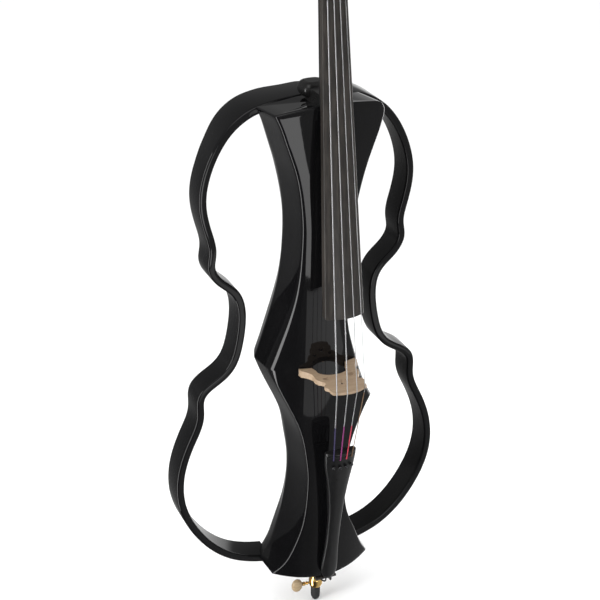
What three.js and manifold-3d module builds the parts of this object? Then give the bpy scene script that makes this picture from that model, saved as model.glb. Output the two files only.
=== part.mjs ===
// Electric cello with a skeleton frame: a sculpted centre body, two bent side bars in the outline of a cello,
// neck with pegbox and scroll, fingerboard, strings, bridge, tailpiece with fine tuners, endpin and rear electronics.
// Millimetres. +X to the treble side, -Y towards the strings, +Z up. The working frame below has its zero at the
// bridge feet; the exported group moves it so that the origin is the flat bottom of the endpin's rubber tip.
import * as THREE from "three";
import { mergeVertices } from "three/addons/utils/BufferGeometryUtils.js";
import Module from "manifold-3d";

// ---- driving dimensions ----
const TIP_Z = -458, // bottom of the rubber tip below the bridge feet
  AXIS_Y = 32, // endpin axis behind the bridge feet
  NUT_Z = 688, // nut above the bridge feet: open string length
  BRIDGE_H = [90, 93.5, 93.3, 87.5], // string heights over the bridge feet, C G D A
  STRING_R = [0.9, 0.75, 0.6, 0.5],
  STRING_X_BRIDGE = [-23, -7.7, 7.7, 23],
  STRING_X_NUT = [-10.8, -3.6, 3.6, 10.8],
  STRING_X_TAIL = [-18.6, -6.2, 6.2, 18.6],
  FB_END_Z = 105, // bridge end of the fingerboard
  FB_W_NUT = 15.5,
  FB_W_END = 30.5, // half widths of the fingerboard
  FB_R = 58, // fingerboard arch radius
  BAR_FRONT = 64.3,
  BAR_DEPTH = 44,
  BAR_DEPTH_TOP = 58,
  BAR_T = 12.3, // side bars
  CORE_SIDE_Y = 64, // widest line of the centre body
  CORE_BACK_Y = 104,
  GAP = 0.3,
  PEG_R = 5.5,
  ROD_R = 5,
  ROD_LEN = 470,
  LEAN = THREE.MathUtils.degToRad(15); // pegbox leans back

const wasm = await Module();
wasm.setup();

// ---- helpers ----
const V = (x, y, z) => new THREE.Vector3(x, y, z);
function solid(geo) {
  let g = geo.index ? geo.toNonIndexed() : geo.clone();
  for (const k of Object.keys(g.attributes)) if (k !== "position") g.deleteAttribute(k);
  g = mergeVertices(g, 1e-4);
  return new wasm.Manifold(
    new wasm.Mesh({ numProp: 3, vertProperties: new Float32Array(g.attributes.position.array), triVerts: new Uint32Array(g.index.array) }),
  );
}
function geoOf(s) {
  const m = s.getMesh(), n = m.numProp, v = new Float32Array(m.numVert * 3);
  for (let i = 0; i < m.numVert; i++) v.set(m.vertProperties.subarray(i * n, i * n + 3), i * 3);
  const g = new THREE.BufferGeometry();
  g.setAttribute("position", new THREE.BufferAttribute(v, 3));
  g.setIndex(new THREE.BufferAttribute(new Uint32Array(m.triVerts), 1));
  g.computeVertexNormals();
  return g;
}
// Closed solid through a list of rings with the same number of points, ends closed by flat caps.
function loft(rings) {
  const n = rings[0].length, pos = [], idx = [];
  rings.forEach((r) => r.forEach((p) => pos.push(p.x, p.y, p.z)));
  for (let i = 0; i + 1 < rings.length; i++)
    for (let j = 0; j < n; j++) {
      const a = i * n + j, b = i * n + ((j + 1) % n), c = a + n, d = b + n;
      idx.push(a, b, d, a, d, c);
    }
  const cap = (k, flip) => {
    const r = rings[k];
    // flatten on the ring's dominant plane
    const nrm = V(0, 0, 0);
    for (let j = 0; j < n; j++) {
      const p = r[j], q = r[(j + 1) % n];
      nrm.x += (p.y - q.y) * (p.z + q.z);
      nrm.y += (p.z - q.z) * (p.x + q.x);
      nrm.z += (p.x - q.x) * (p.y + q.y);
    }
    const ax = Math.abs(nrm.x), ay = Math.abs(nrm.y), az = Math.abs(nrm.z);
    const f = az >= ax && az >= ay ? (p) => new THREE.Vector2(p.x, p.y) : ay >= ax ? (p) => new THREE.Vector2(p.z, p.x) : (p) => new THREE.Vector2(p.y, p.z);
    const s = az >= ax && az >= ay ? nrm.z : ay >= ax ? nrm.y : nrm.x;
    const tris = THREE.ShapeUtils.triangulateShape(r.map(f), []);
    for (const t of tris) {
      // triangulateShape keeps the winding of the outline it is given
      const [a, b, c] = t.map((q) => k * n + q);
      const pa = f(r[t[0]]), pb = f(r[t[1]]), pc = f(r[t[2]]);
      const area = (pb.x - pa.x) * (pc.y - pa.y) - (pb.y - pa.y) * (pc.x - pa.x);
      const same = area > 0 === s > 0;
      if (same !== flip) idx.push(a, b, c);
      else idx.push(a, c, b);
    }
  };
  cap(0, true);
  cap(rings.length - 1, false);
  const g = new THREE.BufferGeometry();
  g.setAttribute("position", new THREE.BufferAttribute(new Float32Array(pos), 3));
  g.setIndex(idx);
  let vol = 0;
  for (let i = 0; i < idx.length; i += 3) {
    const p = [0, 1, 2].map((k) => V(pos[idx[i + k] * 3], pos[idx[i + k] * 3 + 1], pos[idx[i + k] * 3 + 2]));
    vol += p[0].dot(p[1].clone().cross(p[2])) / 6;
  }
  if (vol < 0) for (let i = 0; i < idx.length; i += 3) [idx[i + 1], idx[i + 2]] = [idx[i + 2], idx[i + 1]];
  g.setIndex(idx);
  return g;
}
const box = (x0, x1, y0, y1, z0, z1) => {
  const g = new THREE.BoxGeometry(x1 - x0, y1 - y0, z1 - z0);
  g.translate((x0 + x1) / 2, (y0 + y1) / 2, (z0 + z1) / 2);
  return g;
};
// cylinder between two points
function rod(a, b, r0, r1 = r0, seg = 24) {
  const d = b.clone().sub(a), g = new THREE.CylinderGeometry(r1, r0, d.length(), seg);
  g.translate(0, d.length() / 2, 0);
  g.applyQuaternion(new THREE.Quaternion().setFromUnitVectors(V(0, 1, 0), d.clone().normalize()));
  g.translate(a.x, a.y, a.z);
  return g;
}
// closed profile of (radius, z) turned about the vertical axis through (x, y)
function turned(profile, x, y, seg = 32) {
  const g = new THREE.LatheGeometry(profile.map(([r, z]) => new THREE.Vector2(r, z)), seg);
  g.rotateX(Math.PI / 2);
  g.translate(x, y, 0);
  let s = solid(g);
  if (s.volume() < 0) {
    const q = new THREE.LatheGeometry(profile.slice().reverse().map(([r, z]) => new THREE.Vector2(r, z)), seg);
    q.rotateX(Math.PI / 2);
    q.translate(x, y, 0);
    s = solid(q);
  }
  return s;
}
function tube(points, r, sides, steps, straight = false) {
  let path;
  if (straight) {
    path = new THREE.CurvePath();
    for (let i = 0; i + 1 < points.length; i++) path.add(new THREE.LineCurve3(points[i], points[i + 1]));
  } else path = new THREE.CatmullRomCurve3(points, false, "centripetal");
  const sh = new THREE.Shape();
  for (let i = 0; i < sides; i++) {
    const a = (i / sides) * 2 * Math.PI;
    i ? sh.lineTo(r * Math.cos(a), r * Math.sin(a)) : sh.moveTo(r, 0);
  }
  return new THREE.ExtrudeGeometry(sh, { steps, bevelEnabled: false, extrudePath: path });
}
// straight-run tube with mitred bends
function wire(points, r, sides) {
  const n = points.length, dirs = [];
  for (let i = 0; i + 1 < n; i++) dirs.push(points[i + 1].clone().sub(points[i]).normalize());
  const rings = points.map((p, i) => {
    const d0 = dirs[Math.max(0, i - 1)], d1 = dirs[Math.min(n - 2, i)];
    const m = d0.clone().add(d1).normalize(), u = V(1, 0, 0).addScaledVector(m, -m.x).normalize(), w = m.clone().cross(u);
    const k = 1 / Math.max(0.5, m.dot(d1));
    return Array.from({ length: sides }, (_, j) => {
      const a = ((j + 0.5) / sides) * 2 * Math.PI;
      return p.clone().addScaledVector(u, r * Math.cos(a)).addScaledVector(w, r * Math.sin(a) * k);
    });
  });
  return loft(rings);
}
// polygon in X-Z extruded along Y
function plateXZ(pts, y0, y1) {
  return loft([pts.map(([x, z]) => V(x, y0, z)), pts.map(([x, z]) => V(x, y1, z))]);
}
// piecewise curve through [z, value] pairs: monotone-ish cubic between the neighbours
function curve(table) {
  const t = table.slice().sort((a, b) => a[0] - b[0]);
  const m = t.map((_, i) => {
    if (i === 0) return (t[1][1] - t[0][1]) / (t[1][0] - t[0][0]);
    if (i === t.length - 1) return (t[i][1] - t[i - 1][1]) / (t[i][0] - t[i - 1][0]);
    return (t[i + 1][1] - t[i - 1][1]) / (t[i + 1][0] - t[i - 1][0]);
  });
  return (z) => {
    if (z <= t[0][0]) return t[0][1];
    if (z >= t[t.length - 1][0]) return t[t.length - 1][1];
    let i = 0;
    while (z > t[i + 1][0]) i++;
    const h = t[i + 1][0] - t[i][0], s = (z - t[i][0]) / h, s2 = s * s, s3 = s2 * s;
    return (2 * s3 - 3 * s2 + 1) * t[i][1] + (s3 - 2 * s2 + s) * h * m[i] + (-2 * s3 + 3 * s2) * t[i + 1][1] + (s3 - s2) * h * m[i + 1];
  };
}
const joined = (upper, lower, at) => (z) => (z >= at ? upper(z) : lower(z));

// ---- centre body ----
const WING_L = -4, WING_R = -82;
// front edges (half widths, signed) along the height
const leftFront = joined(
  curve([[WING_L, -85], [10, -79.5], [28, -74], [59, -64], [85, -56.5], [113, -49.5], [145, -44.5], [175, -41.8], [222, -40], [255, -42], [284, -45.5], [310, -51], [331, -58], [352, -65], [372, -73], [391, -83]]),
  curve([[-375, -84], [-364, -74], [-352, -64.5], [-335, -56], [-316, -49], [-292, -41], [-270, -36.5], [-240, -33], [-215, -31.5], [-190, -31], [-151, -35], [-125, -39], [-105, -44.5], [-80, -54], [-55, -65], [-30, -75.5], [WING_L, -85]]),
  WING_L,
);
const rightFront = joined(
  curve([[WING_R, 84.5], [-60, 73], [-35, 62.5], [-17, 56], [20, 44.5], [45, 37.5], [71, 33], [100, 31.5], [130, 32.5], [160, 34.5], [190, 37], [255, 47.5], [285, 54.5], [314, 63], [340, 72.5], [360, 80], [372, 84.5], [391, 87.5]]),
  curve([[-375, 84.5], [-360, 74.5], [-340, 64], [-309, 52], [-285, 41], [-262, 35], [-240, 33], [-215, 33], [-190, 35.5], [-168, 39], [-147, 44.5], [-117, 58.5], [-100, 69.5], [WING_R, 84.5]]),
  WING_R,
);
const flareBack = curve([[-375, 3], [-300, 9], [-215, 6], [-100, 4], [0, 5.5], [100, 4], [220, 3], [330, 4], [391, 1]]);
const archK = curve([[-375, 0.0038], [180, 0.0038], [228, 0.0037], [270, 0.00265], [310, 0.0019], [350, 0.00147], [391, 0.0012]]);
const archC = curve([[-375, -10], [290, -10], [350, -12], [391, -14]]);
const ss = (a, b, v) => {
  const t = Math.min(1, Math.max(0, (v - a) / (b - a)));
  return t * t * (3 - 2 * t);
};
// the front is arched, with a soft ridge running out to each wing tip
const frontY = (x, z) => archC(z) + archK(z) * x * x - 5 * ss(50, 88, Math.abs(x)) * Math.exp(-Math.abs(z - (x < 0 ? WING_L : WING_R)) / 28);
// ends of the body: the top face rises to the middle and to the front, the bottom face hangs in the middle
function endShift(p) {
  const u = Math.max(0, 1 - (p.x / 86) ** 2);
  if (p.z > 355) p.z += ((p.z - 355) / 36) * (8 * u + (8 * (64 - Math.min(p.y, 64))) / 70);
  if (p.z < -335) p.z -= ((-335 - p.z) / 40) * 9.5 * u;
  return p;
}
// how far the left flank runs in towards the back
const leftTaper = curve([[-375, 0.2], [-335, 0.4], [-290, 1], [-235, 1], [-200, 0.7], [-150, 0.2], [-60, 0.2], [-4, 0.5], [30, 1], [180, 1], [249, 0.5], [300, 0], [391, 0]]);
function coreRing(z) {
  const l = leftFront(z), fb = flareBack(z), N = 12, pts = [];
  // the upper right corner is rounded
  const r = rightFront(z) - (z > 377 ? 14 - Math.sqrt(Math.max(0, 196 - (z - 377) ** 2)) : 0);
  const lb = l - fb, rb = r + fb, k = leftTaper(z), mix = (a, b) => lb + a + (b - a) * k;
  for (let i = 0; i <= N; i++) {
    const x = l + ((r - l) * i) / N;
    pts.push(V(x, frontY(x, z), z));
  }
  pts.push(V(rb, CORE_SIDE_Y, z));
  pts.push(V(rb * 0.93, 84, z), V(rb * 0.82, 98, z), V(rb * 0.68, CORE_BACK_Y, z));
  pts.push(V(mix(-0.32 * lb, 19), CORE_BACK_Y, z), V(mix(-0.18 * lb, 15.5), 98, z), V(mix(-0.07 * lb, 9), 84, z));
  pts.push(V(lb, CORE_SIDE_Y, z));
  return pts.map(endShift);
}
const coreZ = [-375, -368, -358, -346, -330, -312, -292, -270, -246, -220, -194, -168, -144, -120, -100, WING_R, -62, -44, -24, WING_L, 14, 32, 54, 78, 104, 134, 166, 200, 232, 262, 288, 312, 334, 352, 364, 374, 377, 382, 386, 389, 391];
let core = solid(loft(coreZ.map(coreRing)));
// the rounded upper right corner
// the back of the top stays below the bars: lower the hull behind the side line
core = core.subtract(solid(box(-130, 130, CORE_SIDE_Y, 130, 386, 430)));

// ---- side bars ----
const OUTLINE = [
  [0.2, 401.5], [19, 400.5], [46, 398], [66, 395], [84, 391], [98, 385], [112, 376.5], [125, 366], [136, 353.5], [146.5, 338], [155, 322], [162, 305], [167, 289], [170.5, 272], [171.5, 256],
  [170.5, 240], [167.5, 224], [163.5, 208], [159.5, 194], [157.2, 182], [158, 171], [160.3, 161], [160.5, 151], [157, 140], [150, 129], [139.5, 118.5], [128, 109.5], [119.5, 99], [115, 86],
  [113.3, 71], [113.8, 55], [116, 38], [119, 21], [123, 5], [128.5, -9], [137, -20], [148.5, -28.5], [162, -36], [174, -44.5], [181.5, -55], [184.3, -67], [183.8, -80], [183.5, -92], [187, -106],
  [194, -121], [202, -137], [209, -154], [215, -172], [219.3, -191], [221, -210], [220.8, -229], [217.8, -248], [212.5, -266], [205, -284], [195, -302], [183, -320], [169, -337], [153, -352],
  [136, -364.5], [118, -373.5], [99, -380], [84, -384], [70, -386.5],
];
const depthAt = (z, x) => BAR_DEPTH + (BAR_DEPTH_TOP - BAR_DEPTH) * ss(335, 392, z) + (x < 0 ? 6 * ss(20, 60, -x) * ss(300, 360, z) : 0);
function barRings(side, grow = 0) {
  const n = OUTLINE.length;
  return OUTLINE.map(([x, z], i) => {
    const a = OUTLINE[Math.max(0, i - 1)], b = OUTLINE[Math.min(n - 1, i + 1)];
    let tx = b[0] - a[0], tz = b[1] - a[1];
    const l = Math.hypot(tx, tz);
    tx /= l;
    tz /= l;
    if (i === 0) (tx = 1), (tz = 0);
    const nx = -tz, nz = tx; // towards the outside of the outline
    const ix = -nx, iz = -nz;
    const y0 = BAR_FRONT - grow, y1 = BAR_FRONT + depthAt(z, side * x) + grow, c = 1.8, o = grow, t = BAR_T + grow;
    const at = (d, y) => V(side * (x + ix * d), y, z + iz * d);
    return [at(-o + c, y0), at(t - c, y0), at(t, y0 + c), at(t, y1 - c), at(t - c, y1), at(-o + c, y1), at(-o, y1 - c), at(-o, y0 + c)];
  });
}
const barL0 = solid(loft(barRings(-1))), barR0 = solid(loft(barRings(1)));
core = core.subtract(solid(loft(barRings(-1, 0.35)))).subtract(solid(loft(barRings(1, 0.35))));

// screws that hold the bars: two at the top into the body, one at each lower end
const SCREW = { r: 2.5, head: 4.6 };
function screw(x, z, yHead, yTip, hex = 6) {
  // countersunk head flush at yHead, socket recess
  let s = solid(rod(V(x, yTip, z), V(x, yHead - 3, z), SCREW.r, SCREW.r, 16)).add(solid(rod(V(x, yHead - 3.01, z), V(x, yHead, z), SCREW.r, SCREW.head, 16)));
  return s.subtract(solid(rod(V(x, yHead - 2, z), V(x, yHead + 1, z), 1.6, 1.6, hex)));
}
function screwHole(x, z, yHead, yTip) {
  return solid(rod(V(x, yTip - 0.4, z), V(x, yHead, z), SCREW.r + GAP, SCREW.r + GAP, 16)).add(
    solid(rod(V(x, yHead - 3.4, z), V(x, yHead + 2, z), SCREW.r + GAP, SCREW.head + GAP + 2.4, 16)),
  );
}
const TOPS = BAR_FRONT + BAR_DEPTH_TOP;
const holes = [
  ["frame_screw_top_left", -13, 394.3, TOPS - 0.2, 30],
  ["frame_screw_top_right", 13, 394.3, TOPS - 0.2, 30],
];
let barL = barL0, barR = barR0;
const screws = [];
for (const [name, x, z, yh, yt] of holes) {
  const h = screwHole(x, z, yh, yt);
  if (x < 0) barL = barL.subtract(h);
  else barR = barR.subtract(h);
  core = core.subtract(h);
  screws.push([name, screw(x, z, yh, yt)]);
}
// lower ends: screws run up through the underside of the body into the bar's tenon
for (const side of [-1, 1]) {
  const x = side * 76, z0 = -381.0 + 0.0, y = 86;
  const top = V(x, y, -374), low = V(x, y, -394);
  const hole = solid(rod(V(x, y, -400), V(x, y, -373), SCREW.r + GAP, SCREW.r + GAP, 16));
  if (side < 0) barL = barL.subtract(hole);
  else barR = barR.subtract(hole);
  core = core.subtract(hole);
  screws.push([side < 0 ? "frame_screw_bottom_left" : "frame_screw_bottom_right", solid(rod(V(x, y, -391), V(x, y, -373.5), SCREW.r, SCREW.r, 16))]);
}

// ---- endpin: plug and collar, rod, rubber tip, clamp screw ----
const CORE_BOTTOM = -384.5;
const collarBottom = -433;
let collar = turned(
  [[ROD_R + GAP, -345], [10, -345], [11.5, CORE_BOTTOM + 1], [11.5, CORE_BOTTOM - GAP], [14.5, CORE_BOTTOM - GAP], [14.5, -388], [9.2, -389.5], [9.2, -396], [11.8, -399], [11.8, -403], [9, -406], [8.6, -414], [10.6, -417.5], [11.2, -421], [11.2, -426.5], [9.6, -430.5], [7.6, collarBottom], [ROD_R + GAP, collarBottom], [ROD_R + GAP, -345]],
  0, AXIS_Y, 24,
);
const CLAMP_Z = -423.5;
collar = collar.subtract(solid(rod(V(-20, AXIS_Y, CLAMP_Z), V(0, AXIS_Y, CLAMP_Z), 2.3, 2.3, 16)));
core = core.subtract(turned([[0, -420], [12.3, -420], [12.3, -384], [10.9, -344], [ROD_R + 0.5, -344], [ROD_R + 0.5, 30], [0, 30]], 0, AXIS_Y, 24));
const pinRod = turned([[0, -445], [ROD_R, -445], [ROD_R, -445 + ROD_LEN - 2], [ROD_R - 1.2, -445 + ROD_LEN], [0, -445 + ROD_LEN]], 0, AXIS_Y, 24);
const rubber = turned(
  [[0, -445.3], [ROD_R + GAP, -445.3], [ROD_R + GAP, -433.4], [7.4, -433.4], [7.6, -436], [7.6, -448], [7.1, -452], [5.6, -455.8], [3.6, TIP_Z], [0, TIP_Z]],
  0, AXIS_Y, 24,
);
const clampStem = solid(rod(V(-5.35, AXIS_Y, CLAMP_Z), V(-23.5, AXIS_Y, CLAMP_Z), 2, 2, 16)).add(solid(rod(V(-20, AXIS_Y, CLAMP_Z), V(-23.5, AXIS_Y, CLAMP_Z), 3.2, 3.2, 16)));
const knobRings = [];
for (let i = 0; i <= 10; i++) {
  const t = i / 10, x = -23.8 - 18.4 * t, k = Math.sqrt(Math.max(0.02, 1 - (2 * t - 1) ** 2 * 0.97));
  const ring = [];
  for (let j = 0; j < 20; j++) {
    const a = (j / 20) * 2 * Math.PI;
    ring.push(V(x, AXIS_Y + 5.6 * k * Math.cos(a), CLAMP_Z + 12 * k * Math.sin(a)));
  }
  knobRings.push(ring);
}
const clampKnob = solid(loft(knobRings));

// ---- fingerboard ----
const fbW = (z) => FB_W_NUT + ((FB_W_END - FB_W_NUT) * (NUT_Z - z)) / (NUT_Z - FB_END_Z);
const fbCrown = (z) => -4 - ((71.5 - 4) * (NUT_Z - z)) / (NUT_Z - FB_END_Z);
const fbSide = (z) => 10 + (2.5 * (NUT_Z - z)) / (NUT_Z - FB_END_Z);
const fbArch = (x) => FB_R - Math.sqrt(FB_R * FB_R - x * x);
const fbUnder = (z) => fbCrown(z) + fbArch(fbW(z)) + fbSide(z);
const fbRings = [FB_END_Z, 180, 300, 420, 540, 640, NUT_Z].map((z) => {
  const w = fbW(z), r = [], N = 10;
  for (let i = 0; i <= N; i++) {
    const x = -w + (2 * w * i) / N;
    r.push(V(x, fbCrown(z) + fbArch(x), z));
  }
  r.push(V(w - 0.6, fbUnder(z), z), V(-w + 0.6, fbUnder(z), z));
  return r;
});
let fingerboard = solid(loft(fbRings));
// hollowed underneath beyond the neck
fingerboard = fingerboard.subtract(
  solid(loft([FB_END_Z - 5, 240, 372].map((z, i) => {
    const w = fbW(z) - 6, top = [11, 10, 6.5][i], y = fbUnder(z);
    return [V(-w, y + 2, z), V(-w * 0.8, y - top * 0.75, z), V(0, y - top, z), V(w * 0.8, y - top * 0.75, z), V(w, y + 2, z)];
  }))),
);

// ---- neck, heel, pegbox and scroll ----
const HEEL_TOP = 424;
const neckRings = [HEEL_TOP - 44, 402, HEEL_TOP, 455, 500, 560, 620, 665, NUT_Z + 6].map((z) => {
  const zz = Math.min(z, NUT_Z), w = fbW(zz) - 0.8, y = fbUnder(zz) + GAP + 0.4, d = z < HEEL_TOP ? Math.max(7, 17 * ss(380, 424, z)) : 18 + 2 * ss(640, 700, z), r = [];
  r.push(V(-w, y, z), V(w, y, z));
  for (let i = 1; i < 10; i++) {
    const a = (i / 10) * Math.PI;
    r.push(V(w * Math.cos(a), y + d * Math.sin(a), z));
  }
  return r;
});
let neck = solid(loft(neckRings)).intersect(solid(box(-60, 60, -60, 130, 383, 800)));
// heel block on the top of the centre body, under the neck
const heelRings = [[404.5, 0.8], [406.5, 0.9], [410, 0.975], [414, 1], [418, 0.975], [421, 0.91], [423.6, 0.8], [HEEL_TOP + 1.5, 0.62]].map(([z, k]) => {
  const pts = [], cx = -3, cy = 49, a = 20, b = 18.5;
  for (let i = 0; i < 20; i++) {
    const t = (i / 20) * 2 * Math.PI, c = Math.cos(t), s = Math.sin(t), e = 0.6;
    pts.push(V(cx + a * k * Math.sign(c) * Math.abs(c) ** e, cy + b * k * Math.sign(s) * Math.abs(s) ** e, z));
  }
  return pts;
});
neck = neck.add(solid(loft(heelRings)));
neck = neck.add(solid(loft([384, HEEL_TOP - 4].map((z) => [V(-15, fbUnder(z) + 0.8, z), V(15, fbUnder(z) + 0.8, z), V(12, 50, z), V(-14, 50, z)]))));
// pegbox frame: a along the pegbox from the nut, b depth behind the strings
const PB = (x, a, b) => V(x, 2 + a * Math.sin(LEAN) + b * Math.cos(LEAN), NUT_Z + 4 + a * Math.cos(LEAN) - b * Math.sin(LEAN));
const pbHalf = (a) => 19.5 - 5 * ss(0, 125, a), pbDepth = (a) => 29 - 7 * ss(0, 130, a);
const pbRing = (a, h, b0, b1, ch) => [PB(-h, a, b0), PB(h, a, b0), PB(h, a, b1 - ch), PB(h - ch, a, b1), PB(-h + ch, a, b1), PB(-h, a, b1 - ch)];
let box1 = solid(loft([2.6, 25, 50, 75, 100, 125, 150].map((a) => pbRing(a, pbHalf(a), 1.5, pbDepth(a), 4))));
box1 = box1.subtract(
  solid(loft([[12], [40], [70], [100], [116]].map(([a]) => [PB(-pbHalf(a) + 7, a, -8), PB(pbHalf(a) - 7, a, -8), PB(pbHalf(a) - 7, a, pbDepth(a) - 6), PB(-pbHalf(a) + 7, a, pbDepth(a) - 6)]))),
);
neck = neck.add(box1);
const eye = [150, 12];
for (const [r, h, da, db] of [[27, 13.5, 0, 0], [17.5, 17.5, -2, -2], [8.5, 21.5, -2, -1]])
  neck = neck.add(solid(rod(PB(-h, eye[0] + da, eye[1] + db), PB(h, eye[0] + da, eye[1] + db), r, r, 28)));
// gap to the body where the heel sits
const pegA = { C: 32, G: 80, D: 102, A: 52 }, pegB = 12.5;
for (const a of Object.values(pegA)) neck = neck.subtract(solid(rod(PB(-40, a, pegB), PB(40, a, pegB), PEG_R + GAP, PEG_R + GAP, 16)));

// pegs: shaft, collar ring, flat oval head
function peg(a, side) {
  const h = pbHalf(a);
  let s = solid(rod(PB(-side * (h - 0.5), a, pegB), PB(side * (h + 14), a, pegB), PEG_R, PEG_R, 16));
  s = s.add(solid(rod(PB(side * (h + 1.2), a, pegB), PB(side * (h + 4.4), a, pegB), 7.4, 7.4, 16)));
  const rings = [];
  for (const [x, w, t] of [[h + 11, 6, 5.6], [h + 16, 9.5, 5.2], [h + 22, 12.8, 4.6], [h + 29, 13.6, 4.6], [h + 35, 11.4, 4.9], [h + 39, 7.5, 4.2]]) {
    const ring = [];
    for (let j = 0; j < 12; j++) {
      const q = (j / 12) * 2 * Math.PI;
      ring.push(PB(side * x, a + w * Math.cos(q), pegB + t * Math.sin(q)));
    }
    rings.push(ring);
  }
  s = s.add(solid(loft(rings)));
  return s.add(solid(rod(PB(side * (h + 38.5), a, pegB), PB(side * (h + 41.5), a, pegB), 2.6, 2, 16)));
}
const pegs = { C: peg(pegA.C, -1), G: peg(pegA.G, -1), D: peg(pegA.D, 1), A: peg(pegA.A, 1) };
for (const p of Object.values(pegs)) if (p.volume() < 0) throw new Error("peg is inside out");

// nut
const nutRing = (z, k) => {
  const r = [], w = FB_W_NUT - 0.1;
  for (let i = 0; i <= 8; i++) {
    const x = -w + (2 * w * i) / 8;
    r.push(V(x, -3.9 + fbArch(x) + k, z));
  }
  r.push(V(w, fbUnder(NUT_Z) - 0.4, z), V(-w, fbUnder(NUT_Z) - 0.4, z));
  return r;
};
const nut = solid(loft([nutRing(NUT_Z + GAP, 0.1), nutRing(NUT_Z + 3.2, 0), nutRing(NUT_Z + 4.7, 1.2)]));

// ---- bridge ----
const stringY = (i, z) => {
  // straight line between bridge and nut
  const yb = -BRIDGE_H[i] + 0, yn = -5.9 + fbArch(STRING_X_NUT[i]);
  return yb + ((yn - yb) * (z + 4.5)) / (NUT_Z + 3.5 + 4.5);
};
const feet = (x) => frontY(x, -5) - 2.0;
const crownY = (x) => {
  const t = STRING_X_BRIDGE.map((v, i) => [v, -BRIDGE_H[i] + STRING_R[i] + GAP + 0.4]);
  t.unshift([-27.5, -86.6]);
  t.push([27.5, -84.2]);
  return curve(t)(x);
};
const bridgeOutline = [];
for (const x of [-27.5, -25.5, -23, -19, -15, -11, -7.7, -4, 0, 4, 7.7, 11, 15, 19, 23, 25.5, 27.5]) bridgeOutline.push([x, crownY(x)]);
bridgeOutline.push([28.6, -80], [28.2, -74.5], [30.5, -71], [31.8, -66.5], [30.2, -62], [27, -59], [26.8, -55], [30, -51], [33.6, -45.5], [35.2, -38], [34.4, -31], [36.5, -24], [41, -17], [46.2, -12]);
bridgeOutline.push([46.8, feet(46.8) - 2.2], [46, feet(46)], [40, feet(40)], [33, feet(33)], [27, feet(27)]);
bridgeOutline.push([26.2, feet(27) - 3.4], [24.4, -18.5], [24.6, -24], [21.5, -30], [15, -35], [8, -37.6], [0, -38.4], [-8, -37.6], [-15, -35], [-21.5, -30], [-24.6, -24], [-24.4, -18.5], [-26.2, feet(27) - 3.4]);
bridgeOutline.push([-27, feet(27)], [-33, feet(33)], [-40, feet(40)], [-46, feet(46)], [-46.8, feet(46.8) - 2.2]);
bridgeOutline.push([-46.2, -12], [-41, -17], [-36.5, -24], [-34.4, -31], [-35.2, -38], [-33.6, -45.5], [-30, -51], [-26.8, -55], [-27, -59], [-30.2, -62], [-31.8, -66.5], [-30.5, -71], [-28.2, -74.5], [-28.6, -80]);
const bridgeFront = (y) => -2.5 + 2.5 * ss(-88, -6, y), bridgeBack = (y) => -6.6 - 4.4 * ss(-90, -6, y);
let bridge = solid(loft([bridgeOutline.map(([x, y]) => V(x, y, bridgeBack(y))), bridgeOutline.map(([x, y]) => V(x, y, bridgeFront(y)))]));
// heart-shaped upper opening and the two side openings
const hole2 = (pts) => solid(loft([pts.map(([x, y]) => V(x, y, -30)), pts.map(([x, y]) => V(x, y, 20))]));
bridge = bridge.subtract(hole2([[0, -55], [3.4, -58.5], [6.4, -62.5], [6.6, -66], [4.2, -68], [1.6, -67], [0, -64.5], [-1.6, -67], [-4.2, -68], [-6.6, -66], [-6.4, -62.5], [-3.4, -58.5]]));
bridge = bridge.subtract(hole2([[15, -49], [20, -50.5], [24, -48], [25, -44], [21.5, -42], [16.5, -43.5]])).subtract(hole2([[-16.5, -43.5], [-21.5, -42], [-25, -44], [-24, -48], [-20, -50.5], [-15, -49]]));
// thin pickup plates under the feet
const pickup = (s) => solid(loft([-10.6, -0.4].map((z) => [27.5, 33, 40, 46].map((x) => V(s * x, feet(x) + 0.3, z)).concat([46, 40, 33, 27.5].map((x) => V(s * x, frontY(x, -5) - 0.45, z))))));

// ---- tailpiece ----
const tpW = curve([[-122, 25.2], [-130, 25.4], [-140, 24.6], [-152, 23.2], [-166, 20.8], [-180, 18.2], [-195, 16], [-218, 13.4], [-240, 11.8], [-262, 11], [-290, 10.7], [-315, 11.2], [-340, 12.8], [-355, 13.8], [-366, 13.6], [-374, 11.2], [-379, 7.6], [-381.5, 4]]);
const tpCrown = (z) => -68.5 + ((z + 122) / -259.5) * 45;
const tpThick = (z) => 17 - 5 * ss(-140, -240, z) * 1 - 1 * ss(-240, -370, z);
const ssr = (a, b, v) => (a > b ? 1 - ss(b, a, v) : ss(a, b, v));
const tpDepth = (z) => 17 - 4.5 * ssr(-140, -240, z) - 2 * ssr(-240, -370, z);
const tpRings = [-122, -128, -140, -152, -166, -180, -195, -218, -240, -262, -290, -315, -340, -355, -366, -374, -379, -381.5].map((z) => {
  const w = tpW(z), c = tpCrown(z), d = tpDepth(z), sag = 0.38 * w, r = [], N = 8;
  for (let i = 0; i <= N; i++) {
    const x = -w + (2 * w * i) / N;
    r.push(V(x, c + sag * (x / w) ** 2, z));
  }
  r.push(V(w * 0.94, c + d, z), V(-w * 0.94, c + d, z));
  return r;
});
let tailpiece = solid(loft(tpRings));
const TZ0 = -131, TZ1 = -161;
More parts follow.
